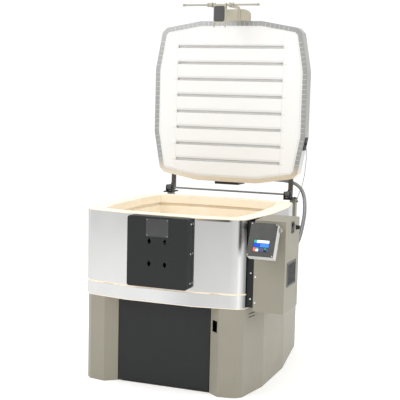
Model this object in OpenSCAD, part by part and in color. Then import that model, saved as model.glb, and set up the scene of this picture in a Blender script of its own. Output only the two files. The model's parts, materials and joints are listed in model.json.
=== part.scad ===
// Large top-loading lid-element kiln on a storage stand, with the lid standing open.
// Millimetres. X to the right, Y to the back, Z up. The origin is on the floor under the chamber's centre.

/* [Chamber body] */
// Width of the chamber body across its flat sides
kiln_w = 868.6; // [820:1:920]
// Width of the flat middle part of each side
flat_w = 343; // [330:1:360]
// Angle by which the ends of each side fall back, in degrees
side_angle = 10.1; // [9:0.1:11.5]
// Width of the small facet across each corner
corner_cut = 39.5; // [30:0.5:44]
// Thickness of the firebrick wall
wall_t = 76.2; // [68:0.2:84]
// Height of one course of wall bricks
course_h = 114.3; // [108:0.1:122]
// Number of courses
course_n = 3; // [3:1:3]
// Thickness of the floor slab
floor_t = 66.7; // [60:0.1:76]
// Sheet thickness of the stainless bands
jacket_t = 1.2; // [0.8:0.1:2]
// Strip of bare brick left between two bands
seam_h = 3.5; // [2:0.1:6]
// Open joint between neighbouring bricks
brick_joint = 0.4; // [0.3:0.05:0.8]

/* [Heating elements] */
// Number of element rows round the wall
wall_rows = 4; // [2:1:4]
// Depth of the first row below the rim
first_row = 47; // [40:1:54]
// Distance between two wall rows
wall_row_pitch = 79; // [72:1:80]
// Height and depth of an element groove
groove_w = 15; // [13:0.5:18]
// Radius of an element coil
coil_r = 5; // [3.5:0.1:6]
// Radius of a ceramic element bushing
bushing_r = 6; // [5:0.1:7]
// Distance between the two bushings of a row
bushing_pitch = 60; // [50:1:70]

/* [Stand] */
// Height of the stand
stand_h = 413.5; // [380:0.5:450]
// How far the stand's sides lie inside the chamber body
stand_inset = 5; // [3:0.5:9]
// Sheet thickness of the stand
stand_t = 2; // [1.5:0.1:3]
// Thickness of the deck that carries the chamber
deck_t = 3; // [2:0.1:5]
// How far the stand reaches behind the body
stand_behind = 190.7; // [165:0.1:215]
// How far the stand's back corners lie inside the body's sides
stand_back_in = 69.3; // [62:0.1:80]
// Half width of the door opening
opening_half = 235; // [215:1:245]
// How far the door's front face lies inside the body's front
door_in = 66.8; // [55:0.1:84]
// Half width between the front pillars' inner edges
pillar_half = 288.8; // [275:0.2:300]
// Depth of the folded door jamb
jamb_d = 26; // [18:1:36]

/* [Storage door] */
// Thickness of the door pan
door_t = 14; // [12:0.5:15]
// Sheet thickness of the door
door_sheet = 1.5; // [1:0.1:2]
// Gap between the door and its jambs
door_gap = 3; // [2.5:0.1:5]
// Gap above and below the door
door_end_gap = 4; // [3:0.1:6]
// Radius of the door's hinge pins
door_pin_r = 3; // [2:0.1:4]
// Distance from the door's hinge edge to its pins
door_pin_in = 8; // [7:0.1:8.5]

/* [Front terminal cover] */
// Width of the cover
cover_w = 298; // [270:1:310]
// Depth of the cover
cover_d = 50; // [40:0.5:52]
// Height of the cover
cover_h = 325; // [300:1:330]
// Distance of the cover's middle from the centre line
cover_x = 9; // [0:0.5:12]
// Radius of the cover's corners
cover_r = 12; // [6:0.5:20]
// Sheet thickness of the cover
cover_t = 1.5; // [1:0.1:2.5]
// Width of a diamond vent
vent_w = 19; // [14:0.5:24]
// Height of a diamond vent
vent_h = 32; // [24:0.5:40]

/* [Lid] */
// How far the lid's edge lies inside the chamber body
lid_inset = 5.8; // [4:0.1:10]
// Thickness of the lid at its edge
lid_t = 73; // [66:0.5:80]
// Height of the lid's flange above the rim when closed
lid_gap = 4.8; // [4:0.1:7]
// Gap left under the closed lid's raised face
seat_gap = 0.3; // [0.2:0.05:0.6]
// Distance from the lid's edge to its raised face
plug_in = 35; // [32:0.5:42]
// Sheet thickness of the lid band
band_t = 1.2; // [0.8:0.1:2]
// Width of the flange folded over the lid's faces
flange_w = 25; // [20:0.5:28]
// Distance between two slits of the flange
slit_pitch = 25.4; // [22:0.1:30]
// Width of a slit
slit_w = 2; // [1.2:0.1:3]
// Number of element rows in the lid
lid_rows = 8; // [6:1:8]
// Distance between two lid rows
lid_row_pitch = 86.9; // [80:0.1:88]
// Half length of a lid row
lid_row_half = 296; // [280:1:300]
// How far the rows lie behind the lid's middle
lid_row_shift = 12; // [0:0.5:14]

/* [Lid hinge] */
// Distance of the hinge rod behind the body
hinge_behind = 45; // [36:0.1:56]
// Height of the hinge rod above the rim
hinge_up = 29.2; // [26:0.1:34]
// Angle of the open lid from its closed place, in degrees
lid_open = 90.6; // [85:0.1:91]
// Radius of the hinge rod
rod_r = 4.75; // [4:0.05:6]
// Running clearance of the hinge pins, on the radius
run_gap = 0.05; // [0.02:0.01:0.1]
// Distance from the centre line to the middle of each hinge
hinge_x = 339; // [325:1:345]
// Width of a lid arm at the hinge
arm_w = 24; // [18:0.5:28]
// Thickness of a bracket cheek
cheek_t = 6; // [4:0.5:8]
// Side gap between an arm and a cheek
cheek_gap = 1; // [0.5:0.1:2]
// Thickness of the strap along the lid
strap_t = 10; // [7:0.5:12]
// Front end of the strap, from the chamber's centre
strap_front_y = 150; // [100:1:220]
// Width of a hinge post
post_w = 30; // [26:0.5:34]
// Depth of a hinge post
post_d = 35; // [30:0.5:40]
// Distance of the post's front face behind the hinge rod
post_behind = 40.7; // [36:0.1:50]

/* [Handle] */
// Distance of the handle bar in front of the lid's edge
bar_out = 69; // [68:0.5:76]
// Distance of the handle bar below the lid's flange
bar_down = 165; // [140:1:180]
// Radius of the handle bar
bar_r = 5; // [4:0.1:6]
// Half length of the handle bar
bar_half = 208; // [180:1:230]
// Radius of the round end of a handle arm
arm_end_r = 12; // [10:0.1:12.2]
// Half width between the handle arms
arm_half = 46; // [42:0.5:52]
// Thickness of a handle arm
arm_t = 6; // [4:0.5:8]
// Half width of the handle base
base_half = 99; // [90:1:110]
// Depth of the handle base in front of the lid
base_out = 62; // [56:0.5:66]
// Height of the handle base
base_h = 35; // [30:0.5:42]
// Half width of the hanging name plate's channel
hasp_half = 32; // [28:0.5:36]
// Length of the hanging channel below the bar
hasp_len = 100; // [85:1:115]

/* [Control box] */
// Width of the control box
box_w = 143.5; // [130:0.5:150]
// Depth of the control box
box_d = 222; // [200:1:240]
// Height of the control box
box_h = 415.5; // [390:0.5:425]
// Gap between the body's widest line and the box
box_gap = 2.6; // [2:0.1:5]
// How far the box's front face lies inside the body's front
box_in = 59.6; // [50:0.1:74]
// Height of the box's top above the rim
box_over = 1.3; // [0:0.1:3]
// Sheet thickness of the box
box_t = 1.5; // [1:0.1:2.5]

/* [Control head] */
// Width of the face plate
face_w = 122; // [110:0.5:128]
// Height of the face plate
face_h = 154; // [140:0.5:165]
// Depth of the housing behind the face plate
head_d = 52; // [42:0.5:54]
// Angle by which the face looks up, in degrees
head_lean = 26; // [20:0.5:30]
// Distance of the face's top edge in front of the box
head_out = 57; // [55:0.5:64]
// Distance of the face's top edge below the rim
head_drop = 0.8; // [0:0.1:6]
// Width of the touch screen
screen_w = 72; // [60:0.5:84]
// Height of the touch screen
screen_h = 55; // [45:0.5:62]

/* [Conduit] */
// Outer radius of the flexible conduit
conduit_r = 9.5; // [8:0.1:10]
// Radius of the conduit's bore
conduit_bore_r = 7; // [5.5:0.1:7.2]
// Height of a conduit rib
rib_h = 0.8; // [0.4:0.1:1]
// Distance between two ribs
rib_pitch = 8.5; // [7.5:0.1:12]
// Radius of the stay cable
stay_r = 1.6; // [1:0.1:2]

/* [Hidden] */
$fn = 48;
eps = 0.01;

// Levels
floor_z = stand_h + floor_t;
rim_z = floor_z + course_n * course_h;
lid_z = rim_z + lid_gap;
lid_top = lid_z + lid_t;
hinge_z = rim_z + hinge_up;
half_w = kiln_w / 2;
lid_half = half_w - lid_inset;
hinge_y = half_w + hinge_behind;
post_y = hinge_y + post_behind;
door_y = half_w - door_in;
box_y = half_w - box_in;
stand_back_y = half_w + stand_behind;
stand_back_half = half_w - stand_back_in;

// Outline of the chamber body in plan, moved inwards by d: each side has a flat middle and
// two ends that fall back, and a small facet crosses each corner while there is room for it
function plan_half(d) = kiln_w / 2 - d;
function plan_flat(d) = flat_w / 2 - d * tan(side_angle / 2);
function plan_cut(d) = max(0, corner_cut - 2 * d * tan((45 - side_angle) / 2));
function plan_reach(d) = (plan_half(d) - plan_flat(d)) / (sin(side_angle) + cos(side_angle))
    - plan_cut(d) / 2 / cos(45 - side_angle);
function plan_far(d) = plan_half(d) - plan_reach(d) * sin(side_angle);
function plan_near(d) = plan_flat(d) + plan_reach(d) * cos(side_angle);
function quarter(d) = plan_cut(d) > 0.5
    ? [[plan_half(d), plan_flat(d)], [plan_far(d), plan_near(d)],
       [plan_near(d), plan_far(d)], [plan_flat(d), plan_half(d)]]
    : [[plan_half(d), plan_flat(d)], [plan_far(d), plan_far(d)], [plan_flat(d), plan_half(d)]];
function turned(p, k) = [for (q = p) [
    q[0] * cos(90 * k) - q[1] * sin(90 * k),
    q[0] * sin(90 * k) + q[1] * cos(90 * k)]];
function plan(d) = concat(turned(quarter(d), 0), turned(quarter(d), 1),
                          turned(quarter(d), 2), turned(quarter(d), 3));
// Distance from the centre line to the slanting end of a side, at a distance u along the side
function slant_at(d, u) = plan_half(d) - (u - plan_flat(d)) * tan(side_angle);

// Mitred offset of any outline whose points run anticlockwise
function unit(v) = v / norm(v);
function inward(a, b) = let (e = unit(b - a)) [-e[1], e[0]];
function mitre(a, b, c, d) = let (n1 = inward(a, b), n2 = inward(b, c))
    b + d * (n1 + n2) / (1 + n1 * n2);
function inset(p, d) = let (n = len(p))
    [for (i = [0 : n - 1]) mitre(p[(i + n - 1) % n], p[i], p[(i + 1) % n], d)];

// Outline of the stand: door recess, front pillars, the body's own facets and a long tail
stand_right = [
    [opening_half, -door_y],
    [pillar_half, -slant_at(stand_inset, pillar_half)],
    [plan_near(stand_inset), -plan_far(stand_inset)],
    [plan_far(stand_inset), -plan_near(stand_inset)],
    [plan_half(stand_inset), -plan_flat(stand_inset)],
    [plan_half(stand_inset), plan_flat(stand_inset)],
    [stand_back_half, stand_back_y]];
stand_plan = concat(stand_right,
    [for (i = [len(stand_right) - 1 : -1 : 0]) [-stand_right[i][0], stand_right[i][1]]]);

module ring(d_out, d_in, h) {
    linear_extrude(h) difference() {
        polygon(plan(d_out));
        polygon(plan(d_in));
    }
}
module both_sides() {
    children();
    mirror([1, 0, 0]) children();
}
module rounded(w, h, r) {
    square([w - 2 * r, h], center = true);
    square([w, h - 2 * r], center = true);
    for (x = [-1, 1], y = [-1, 1])
        translate([x * (w / 2 - r), y * (h / 2 - r)]) circle(r);
}
module diamond(w, h) {
    polygon([[-w / 2, 0], [0, -h / 2], [w / 2, 0], [0, h / 2]]);
}
// A shape drawn in X and Z, standing on the plane y and growing towards the back
module upright(y, depth) {
    translate([0, y + depth, 0]) rotate([90, 0, 0]) linear_extrude(depth) children();
}
// A shape drawn in Y and Z, standing on the plane x and growing to the right
module sideways(x, depth) {
    translate([x, 0, 0]) rotate([90, 0, 90]) linear_extrude(depth) children();
}
// Round-headed screw with its head towards +Z
module screw(head_r, head_h, shank_r, shank_l) {
    cylinder(r = head_r, h = head_h);
    translate([0, 0, -shank_l]) cylinder(r = shank_r, h = shank_l + eps);
}

// Sweep along a route: frames are turned as little as possible from ring to ring
function along(p, i) = let (n = len(p))
    unit(p[min(i + 1, n - 1)] - p[max(i - 1, 0)]);
function cross_to(t, v) = unit(v - (v * t) * t);
function normals(p, v, i = 0, out = []) = i >= len(p) ? out
    : let (w = cross_to(along(p, i), v)) normals(p, w, i + 1, concat(out, [w]));
function square_to(t) = abs(t[2]) > 0.8 ? [1, 0, 0] : [0, 0, 1];
function swept(p, radii, sides) = let (nn = normals(p, square_to(along(p, 0)))) [for (i = [0 : len(p) - 1])
    let (t = along(p, i), u = nn[i], w = cross(t, u))
    for (k = [0 : sides - 1]) p[i] + radii[i] * (cos(360 * k / sides) * u + sin(360 * k / sides) * w)];
module sweep(p, radii, sides) {
    n = len(p);
    polyhedron(
        points = swept(p, radii, sides),
        faces = concat(
            [[for (k = [0 : sides - 1]) k]],
            [for (i = [0 : n - 2], k = [0 : sides - 1]) let (a = i * sides + k, b = i * sides + (k + 1) % sides)
                [a, a + sides, b + sides]],
            [for (i = [0 : n - 2], k = [0 : sides - 1]) let (a = i * sides + k, b = i * sides + (k + 1) % sides)
                [a, b + sides, b]],
            [[for (k = [sides - 1 : -1 : 0]) (n - 1) * sides + k]]));
}
// Smooth curve through hand-chosen points
function blend4(a, b, c, d, t) = 0.5 * (2 * b + (c - a) * t + (2 * a - 5 * b + 4 * c - d) * t * t
    + (3 * b - a - 3 * c + d) * t * t * t);
function curve(p, steps) = let (n = len(p)) concat(
    [for (i = [0 : n - 2], s = [0 : steps - 1])
        blend4(p[max(i - 1, 0)], p[i], p[i + 1], p[min(i + 2, n - 1)], s / steps)],
    [p[n - 1]]);

// Stand
module stand_walls() {
    difference() {
        linear_extrude(stand_h - deck_t) difference() {
            polygon(stand_plan);
            polygon(inset(stand_plan, stand_t));
        }
        translate([-opening_half, -door_y - 1, -1]) cube([2 * opening_half, jamb_d, stand_h]);
        translate([-stand_back_half - 5, stand_back_y - stand_t, -1])
            cube([2 * stand_back_half + 10, stand_t + 1, stand_h]);
    }
}
module door_jamb() {
    translate([opening_half, -door_y + stand_t, 0]) cube([stand_t, jamb_d, stand_h - deck_t]);
}
finger_w = 40;
finger_h = 54;
finger_z = stand_h - 90.5;
vent_slot_l = 71;
vent_slot_h = 4;
vent_slot_z = stand_h - 47.5;
vent_slot_step = 16;
vent_slot_y = -0.677 * half_w;
module stand_right_side() {
    color("#aaa594") difference() {
        union() {
            intersection() {
                stand_walls();
                translate([0, -half_w, -1]) cube([half_w, stand_back_y + half_w, stand_h]);
            }
            door_jamb();
        }
        // Finger opening in the slanting return beside the door
        translate([(opening_half + pillar_half) / 2, -(door_y + slant_at(stand_inset, pillar_half)) / 2, finger_z])
            rotate([0, 0, -atan2(slant_at(stand_inset, pillar_half) - door_y, pillar_half - opening_half)])
                cube([finger_w, 20, finger_h], center = true);
        for (i = [0, 1])
            translate([slant_at(stand_inset, -vent_slot_y), vent_slot_y, vent_slot_z + i * vent_slot_step])
                rotate([0, 0, side_angle])
                    cube([20, vent_slot_l, vent_slot_h], center = true);
    }
}
module stand_left_side() {
    color("#aaa594") mirror([1, 0, 0]) {
        intersection() {
            stand_walls();
            translate([0, -half_w, -1]) cube([half_w, stand_back_y + half_w, stand_h]);
        }
        door_jamb();
    }
}
module stand_back() {
    color("#a5a090") translate([-stand_back_half, stand_back_y - stand_t, 0])
        cube([2 * stand_back_half, stand_t, stand_h - deck_t]);
}
module stand_deck() {
    color("#a5a090") difference() {
        translate([0, 0, stand_h - deck_t]) linear_extrude(deck_t) polygon(stand_plan);
        translate([door_axis_x, door_axis_y, stand_h - deck_t - 1]) cylinder(r = door_pin_r, h = deck_t + 2);
    }
}
module stand_shelf() {
    color("#a5a090") difference() {
        linear_extrude(stand_t) difference() {
            polygon(inset(stand_plan, stand_t));
            // Clear of the folded jambs
            for (s = [-1, 1]) translate([s * (opening_half + stand_t / 2), -door_y + jamb_d / 2])
                square([stand_t, jamb_d + 2 * stand_t + 1], center = true);
        }
        translate([door_axis_x, door_axis_y, -1]) cylinder(r = door_pin_r, h = stand_t + 2);
    }
}

// Storage door, a pan that turns on two short pins at its left edge
door_half = opening_half - door_gap;
door_low = stand_t + door_end_gap;
door_high = stand_h - deck_t - door_end_gap;
door_axis_x = -door_half + door_pin_in;
door_axis_y = -door_y + door_t / 2;
door_block = 14;
module storage_door() {
    color("#33373a") difference() {
        union() {
            translate([-door_half, -door_y, door_low]) difference() {
                cube([2 * door_half, door_t, door_high - door_low]);
                translate([door_sheet, door_sheet, door_sheet])
                    cube([2 * door_half - 2 * door_sheet, door_t, door_high - door_low - 2 * door_sheet]);
            }
            for (z = [door_low + door_sheet / 2, door_high - door_block - door_sheet / 2])
                translate([-door_half + door_sheet / 2, -door_y + door_sheet / 2, z])
                    cube([2 * door_pin_in - door_sheet, door_t - door_sheet, door_block]);
        }
        for (z = [door_low - 1, door_high - door_block - door_sheet - 1])
            translate([door_axis_x, door_axis_y, z])
                cylinder(r = door_pin_r + run_gap, h = door_block + door_sheet + 2);
    }
}
module door_hinge_pins() {
    color("#8d8f90") translate([door_axis_x, door_axis_y, 0]) {
        cylinder(r = door_pin_r, h = door_low + door_block - 2);
        translate([0, 0, stand_t]) cylinder(r = door_pin_r + 3, h = door_end_gap - 0.3);
        translate([0, 0, door_high - door_block + 2]) cylinder(r = door_pin_r, h = stand_h - door_high + door_block - 2);
        translate([0, 0, door_high + 0.3]) cylinder(r = door_pin_r + 3, h = door_end_gap - 0.3);
    }
}

// Chamber
// The chamber's floor shows the joints of the bricks it is made of, and its edge has a slot each side of the cover
floor_joint = 0.8;
slot_u = 0.613 * half_w;
slot_l = 44;
slot_h = 2.4;
module floor_joints() {
    rows = floor((plan_half(wall_t) + course_h / 2) / course_h);
    for (i = [-rows : rows - 1]) {
        y = (i + 0.5) * course_h;
        translate([-half_w, y - floor_joint / 2, floor_z - 1.5]) cube([kiln_w, floor_joint, 3]);
    }
    for (i = [-rows : rows], k = [-2 : 2])
        translate([(2 * k + (abs(i) % 2)) * course_h - floor_joint / 2, (i - 0.5) * course_h, floor_z - 1.5])
            cube([floor_joint, course_h, 3]);
}
module floor_slab() {
    color("#f0dcc0") difference() {
        translate([0, 0, stand_h]) linear_extrude(floor_t) polygon(plan(jacket_t));
        intersection() {
            floor_joints();
            translate([0, 0, floor_z - 2]) linear_extrude(4) polygon(plan(wall_t));
        }
        for (s = [-1, 1]) translate([s * slot_u, -slant_at(0, slot_u), floor_z])
            rotate([0, 0, s * side_angle]) cube([slot_l, 12, 2 * slot_h], center = true);
    }
}
// Each band is drawn tight at the back by a screw between two lugs
clamp_gap = 26;
clamp_w = 20;
clamp_h = 22;
clamp_out = 17;
clamp_zs = concat([stand_h + floor_t / 2], [for (i = [0 : course_n - 1]) floor_z + (i + 0.5) * course_h]);
module band_clamps() {
    color("#b4b6b7") for (z = clamp_zs) translate([0, half_w, z]) {
        for (s = [-1, 1]) {
            translate([s * (clamp_gap + clamp_w) / 2 - clamp_w / 2, 0.1, -clamp_h / 2]) cube([clamp_w, 1.6, clamp_h]);
            translate([s * (clamp_gap / 2 + 1) - 1, 0.1, -clamp_h / 2]) cube([2, clamp_out, clamp_h]);
        }
        translate([-clamp_gap / 2 - 12, clamp_out - 7, 0]) rotate([0, 90, 0]) cylinder(r = 3, h = clamp_gap + 22);
        translate([-clamp_gap / 2 - 2 - 4, clamp_out - 7, 0]) rotate([0, 90, 0]) cylinder(r = 5.8, h = 4.5, $fn = 6);
        translate([clamp_gap / 2 + 1.5, clamp_out - 7, 0]) rotate([0, 90, 0]) cylinder(r = 5.8, h = 5.5, $fn = 6);
    }
}
module floor_band() {
    color("#d8d8d6") translate([0, 0, stand_h + seam_h]) ring(0, jacket_t, floor_t - 2 * seam_h);
}
// Groove heights, from the top down; each coil lies on the floor of its groove
row_z = [for (i = [0 : wall_rows - 1]) rim_z - first_row - i * wall_row_pitch];
coil_seat = 0.2;
coil_drop = groove_w / 2 - coil_r - coil_seat;
bushing_xs = [cover_x - bushing_pitch / 2, cover_x + bushing_pitch / 2];
module bushing_holes(r) {
    for (z = row_z, x = bushing_xs)
        translate([x, -half_w - 5, z - coil_drop]) rotate([-90, 0, 0]) cylinder(r = r, h = wall_t + 10);
}
probe_y = -0.576 * half_w;
probe_z = rim_z - 2.5 * course_h / 1.7;
probe_r = 4;
module probe_hole(r) {
    translate([half_w - wall_t - 30, probe_y, probe_z]) rotate([0, 90, 0]) cylinder(r = r, h = wall_t + 50);
}
// One course of bricks: mitred joints at every bend and one joint in each flat, staggered by s
module course(level, s) {
    difference() {
        translate([0, 0, floor_z + level * course_h + brick_joint / 2])
            ring(jacket_t, wall_t, course_h - (level == course_n - 1 ? brick_joint / 2 : brick_joint));
        for (k = [0 : 3]) rotate([0, 0, 90 * k]) {
            for (m = [-1, 1]) translate([plan_half(wall_t), m * plan_flat(wall_t), 0])
                rotate([0, 0, m * side_angle / 2])
                    translate([-20, -brick_joint / 2, 0]) cube([wall_t + 60, brick_joint, rim_z + 1]);
            rotate([0, 0, 45]) translate([plan_far(wall_t) * sqrt(2) - 20, -brick_joint / 2, 0])
                cube([wall_t + 60, brick_joint, rim_z + 1]);
            translate([plan_half(wall_t) - 20, s * flat_w / 6 - brick_joint / 2, 0])
                cube([wall_t + 60, brick_joint, rim_z + 1]);
        }
        for (z = row_z) translate([0, 0, z - groove_w / 2]) ring(wall_t - groove_w, wall_t + 5, groove_w);
        bushing_holes(bushing_r);
        probe_hole(probe_r);
    }
}
module bricks_lower() { color("#f3dfc4") course(0, 1); }
module bricks_middle() { color("#f5e3ca") course(1, -1); }
module bricks_upper() { color("#f8ead6") course(2, 1); }
module wall_jacket() {
    color("#dcdcda") difference() {
        translate([0, 0, floor_z + seam_h]) ring(0, jacket_t, rim_z - floor_z - 2 * seam_h);
        bushing_holes(bushing_r);
        probe_hole(probe_r);
    }
}
// Each wall row runs once round the chamber in its groove, from one bushing to the other
module side_elements() {
    color("#8f8a80") for (row = row_z) {
        z = row - coil_drop;
        d = wall_t - groove_w + coil_r + 2;
        q = plan(d);
        route = concat([[bushing_xs[1], -plan_half(d), z]],
            [for (i = [0 : len(q) - 1]) let (p = q[(i + len(q) * 3 / 4) % len(q)]) [p[0], p[1], z]],
            [[bushing_xs[0], -plan_half(d), z]]);
        mitre_sweep(route, coil_r, 8);
    }
}
// A tube round a level polygon, with its bends mitred
module mitre_sweep(p, r, sides) {
    n = len(p);
    dirs = [for (i = [0 : n - 1]) i == 0 ? unit(p[1] - p[0]) : i == n - 1 ? unit(p[n - 1] - p[n - 2])
        : unit(unit(p[i] - p[i - 1]) + unit(p[i + 1] - p[i]))];
    stretch = [for (i = [0 : n - 1]) i == 0 || i == n - 1 ? 1
        : 1 / sqrt((1 + unit(p[i] - p[i - 1]) * unit(p[i + 1] - p[i])) / 2)];
    polyhedron(
        points = [for (i = [0 : n - 1], k = [0 : sides - 1])
            p[i] + r * (cos(360 * k / sides) * [0, 0, 1]
                + sin(360 * k / sides) * stretch[i] * cross(dirs[i], [0, 0, 1]))],
        faces = concat(
            [[for (k = [0 : sides - 1]) k]],
            [for (i = [0 : n - 2], k = [0 : sides - 1]) let (a = i * sides + k, b = i * sides + (k + 1) % sides)
                [a, a + sides, b + sides]],
            [for (i = [0 : n - 2], k = [0 : sides - 1]) let (a = i * sides + k, b = i * sides + (k + 1) % sides)
                [a, b + sides, b]],
            [[for (k = [sides - 1 : -1 : 0]) (n - 1) * sides + k]]));
}
bushing_out = 14;
module element_bushings() {
    color("#efe9dc") for (z = row_z, x = bushing_xs) translate([x, -half_w - bushing_out, z - coil_drop])
        rotate([-90, 0, 0]) difference() {
            union() {
                cylinder(r = bushing_r - 0.1, h = bushing_out + wall_t - groove_w);
                cylinder(r = bushing_r + 3, h = bushing_out - 1);
            }
            translate([0, 0, -1]) cylinder(r = 2, h = wall_t + bushing_out);
        }
}
probe_tip = 34;
module thermocouple() {
    color("#e9e4d8") translate([half_w - wall_t - probe_tip, probe_y, probe_z]) rotate([0, 90, 0])
        cylinder(r = probe_r - 0.1, h = wall_t + probe_tip + box_gap + box_t + 8);
    color("#c9a35a") translate([box_x + box_t + 8 - 0.1, probe_y - 18, probe_z - 10])
        cube([20, 36, 20]);
}

// Front terminal cover, a shallow pan with four diamond vents
cover_z = rim_z - 3 - cover_h / 2;
cover_front = -half_w - cover_d;
vent_pitch_x = 78;
vent_pitch_z = 104;
vent_z = rim_z - 167;
module terminal_cover() {
    color("#3c3f40") translate([cover_x, 0, 0]) difference() {
        upright(cover_front, cover_d) translate([0, cover_z]) rounded(cover_w, cover_h, cover_r);
        upright(cover_front + cover_t, cover_d)
            translate([0, cover_z]) rounded(cover_w - 2 * cover_t, cover_h - 2 * cover_t, cover_r - cover_t);
        upright(cover_front - 1, cover_t + 2) for (x = [-0.5, 0.5], i = [-0.5, 0.5])
            translate([x * vent_pitch_x, vent_z + i * vent_pitch_z]) diamond(vent_w, vent_h);
        for (z = cover_screw_zs) translate([-cover_w / 2 - 1, cover_screw_y, z])
            rotate([0, 90, 0]) cylinder(r = 2.1, h = cover_w + 2);
    }
}
cover_screw_zs = [for (i = [-1, 0, 1]) cover_z + i * (cover_h / 2 - 27)];
cover_screw_y = -half_w - 12;
module cover_screws() {
    color("#b9bcbd") for (s = [-1, 1], z = cover_screw_zs)
        translate([cover_x + s * (cover_w / 2), cover_screw_y, z]) rotate([0, s * 90, 0])
            screw(4, 2.2, 2, 8);
}
plate_w = 110;
plate_h = 82;
plate_z = rim_z - 52;
plate_t = 0.8;
module cover_plate() {
    color("#2c2e2f") upright(cover_front - plate_t, plate_t)
        translate([cover_x, plate_z]) rounded(plate_w, plate_h, 4);
}
module plate_rivets() {
    color("#c6c8c9") for (x = [-1, 1], z = [-1, 1])
        translate([cover_x + x * (plate_w / 2 - 5), cover_front - plate_t, plate_z + z * (plate_h / 2 - 5)])
            rotate([90, 0, 0]) cylinder(r = 1.8, h = 1.1);
}

// Control box, hung beside the body on a channel
box_x = half_w + box_gap;
box_top = rim_z + box_over;
box_low = box_top - box_h;
box_back = -box_y + box_d;
panel_t = 1.5;
channel_t = 2;
channel_front = 14.7 - box_y;
channel_back = 189.7 - box_y;
// The channel fills the wedge between the body's falling side and the box
channel_plan = [
    [slant_at(0, -channel_front) + 0.1, channel_front],
    [box_x, channel_front],
    [box_x, channel_back],
    [slant_at(0, -channel_back) + 0.1, channel_back]];
channel_low = stand_h + 8;
channel_top = rim_z - 6;
module mount_channel() {
    color("#1f2122") difference() {
        translate([0, 0, channel_low]) linear_extrude(channel_top - channel_low) difference() {
            polygon(channel_plan);
            polygon([
                [slant_at(0, -channel_front) - 5, channel_front + channel_t],
                [box_x - channel_t, channel_front + channel_t],
                [box_x - channel_t, channel_back - channel_t],
                [slant_at(0, -channel_back) - 5, channel_back - channel_t]]);
        }
        probe_hole(probe_r);
    }
}
switch_y = box_back - 113;
switch_z = rim_z - 35;
switch_w = 32;
switch_h = 46;
fuse_y = box_back - 52;
fuse_z = rim_z - 42;
fuse_r = 8;
grille_y = box_back - 116;
grille_z = box_low + 0.41 * box_h;
grille_w = 140;
grille_h = 110;
cond_y = box_back;
cond_x = box_x + 0.67 * box_w;
cond_z = box_top - 0.42 * box_h;
module control_box() {
    color("#aaa594") difference() {
        translate([box_x, -box_y + panel_t, box_low]) cube([box_w, box_d - panel_t, box_h]);
        translate([box_x + box_t, -box_y, box_low + box_t])
            cube([box_w - 2 * box_t, box_d - box_t, box_h - 2 * box_t]);
        translate([box_x + box_w - 10, switch_y - switch_w / 2, switch_z - switch_h / 2])
            cube([20, switch_w, switch_h]);
        translate([box_x + box_w - 10, fuse_y, fuse_z]) rotate([0, 90, 0]) cylinder(r = fuse_r, h = 20);
        translate([box_x + box_w - 10, grille_y - grille_w / 2 + 6, grille_z - grille_h / 2 + 6])
            cube([20, grille_w - 12, grille_h - 12]);
        translate([cond_x, box_back - 10, cond_z]) rotate([-90, 0, 0]) cylinder(r = conduit_r + 1, h = 20);
        probe_hole(probe_r);
    }
}
// The front panel has an ear on its left side, screwed to the box
module box_front_panel() {
    color("#b1ac9b") difference() {
        translate([box_x, -box_y, box_low]) cube([box_w, panel_t, box_h]);
        for (z = box_screw_zs, x = box_screw_xs) translate([x, -box_y - 1, z])
            rotate([-90, 0, 0]) cylinder(r = 2, h = panel_t + 2);
    }
}
box_screw_zs = [for (s = [0.096, 0.38, 0.783]) box_low + s * box_h];
box_screw_xs = [box_x + 8];
module box_screws() {
    color("#c9cacb") {
        for (z = box_screw_zs, x = box_screw_xs) translate([x, -box_y, z])
            rotate([90, 0, 0]) screw(3.6, 2, 1.9, panel_t);
        for (s = [0.1, 0.4, 0.9])
            translate([(slant_at(0, -channel_front) + box_x) / 2, channel_front,
                channel_low + s * (channel_top - channel_low)])
                rotate([90, 0, 0]) cylinder(r = 4, h = 2.2);
    }
}
grille_t = 2;
grille_cols = 11;
grille_rows = 8;
module vent_grille() {
    color("#1d1f20") difference() {
        translate([box_x + box_w, grille_y - grille_w / 2, grille_z - grille_h / 2])
            cube([grille_t, grille_w, grille_h]);
        for (i = [0 : grille_cols - 1], j = [0 : grille_rows - 1])
            translate([box_x + box_w - 1,
                grille_y + (i - (grille_cols - 1) / 2) * (grille_w - 20) / grille_cols - 3.5,
                grille_z + (j - (grille_rows - 1) / 2) * (grille_h - 20) / grille_rows - 3.5])
                cube([grille_t + 2, 7, 7]);
    }
}
bezel_t = 2.5;
rocker_deg = 12;
rocker_half = switch_h / 2 - 5;
rocker_axis_x = box_x + box_w - 4;
module switch_bezel() {
    color("#161718") difference() {
        union() {
            translate([box_x + box_w, switch_y - switch_w / 2 - 3, switch_z - switch_h / 2 - 3])
                cube([bezel_t, switch_w + 6, switch_h + 6]);
            translate([box_x + box_w - 22, switch_y - switch_w / 2 + 0.2, switch_z - switch_h / 2 + 0.2])
                cube([22 + eps, switch_w - 0.4, switch_h - 0.4]);
        }
        translate([box_x + box_w - 18, switch_y - switch_w / 2 + 3, switch_z - switch_h / 2 + 3])
            cube([30, switch_w - 6, switch_h - 6]);
        translate([rocker_axis_x, switch_y - switch_w / 2 + 1.5, switch_z])
            rotate([-90, 0, 0]) cylinder(r = 2 + run_gap, h = switch_w - 3);
    }
}
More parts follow.
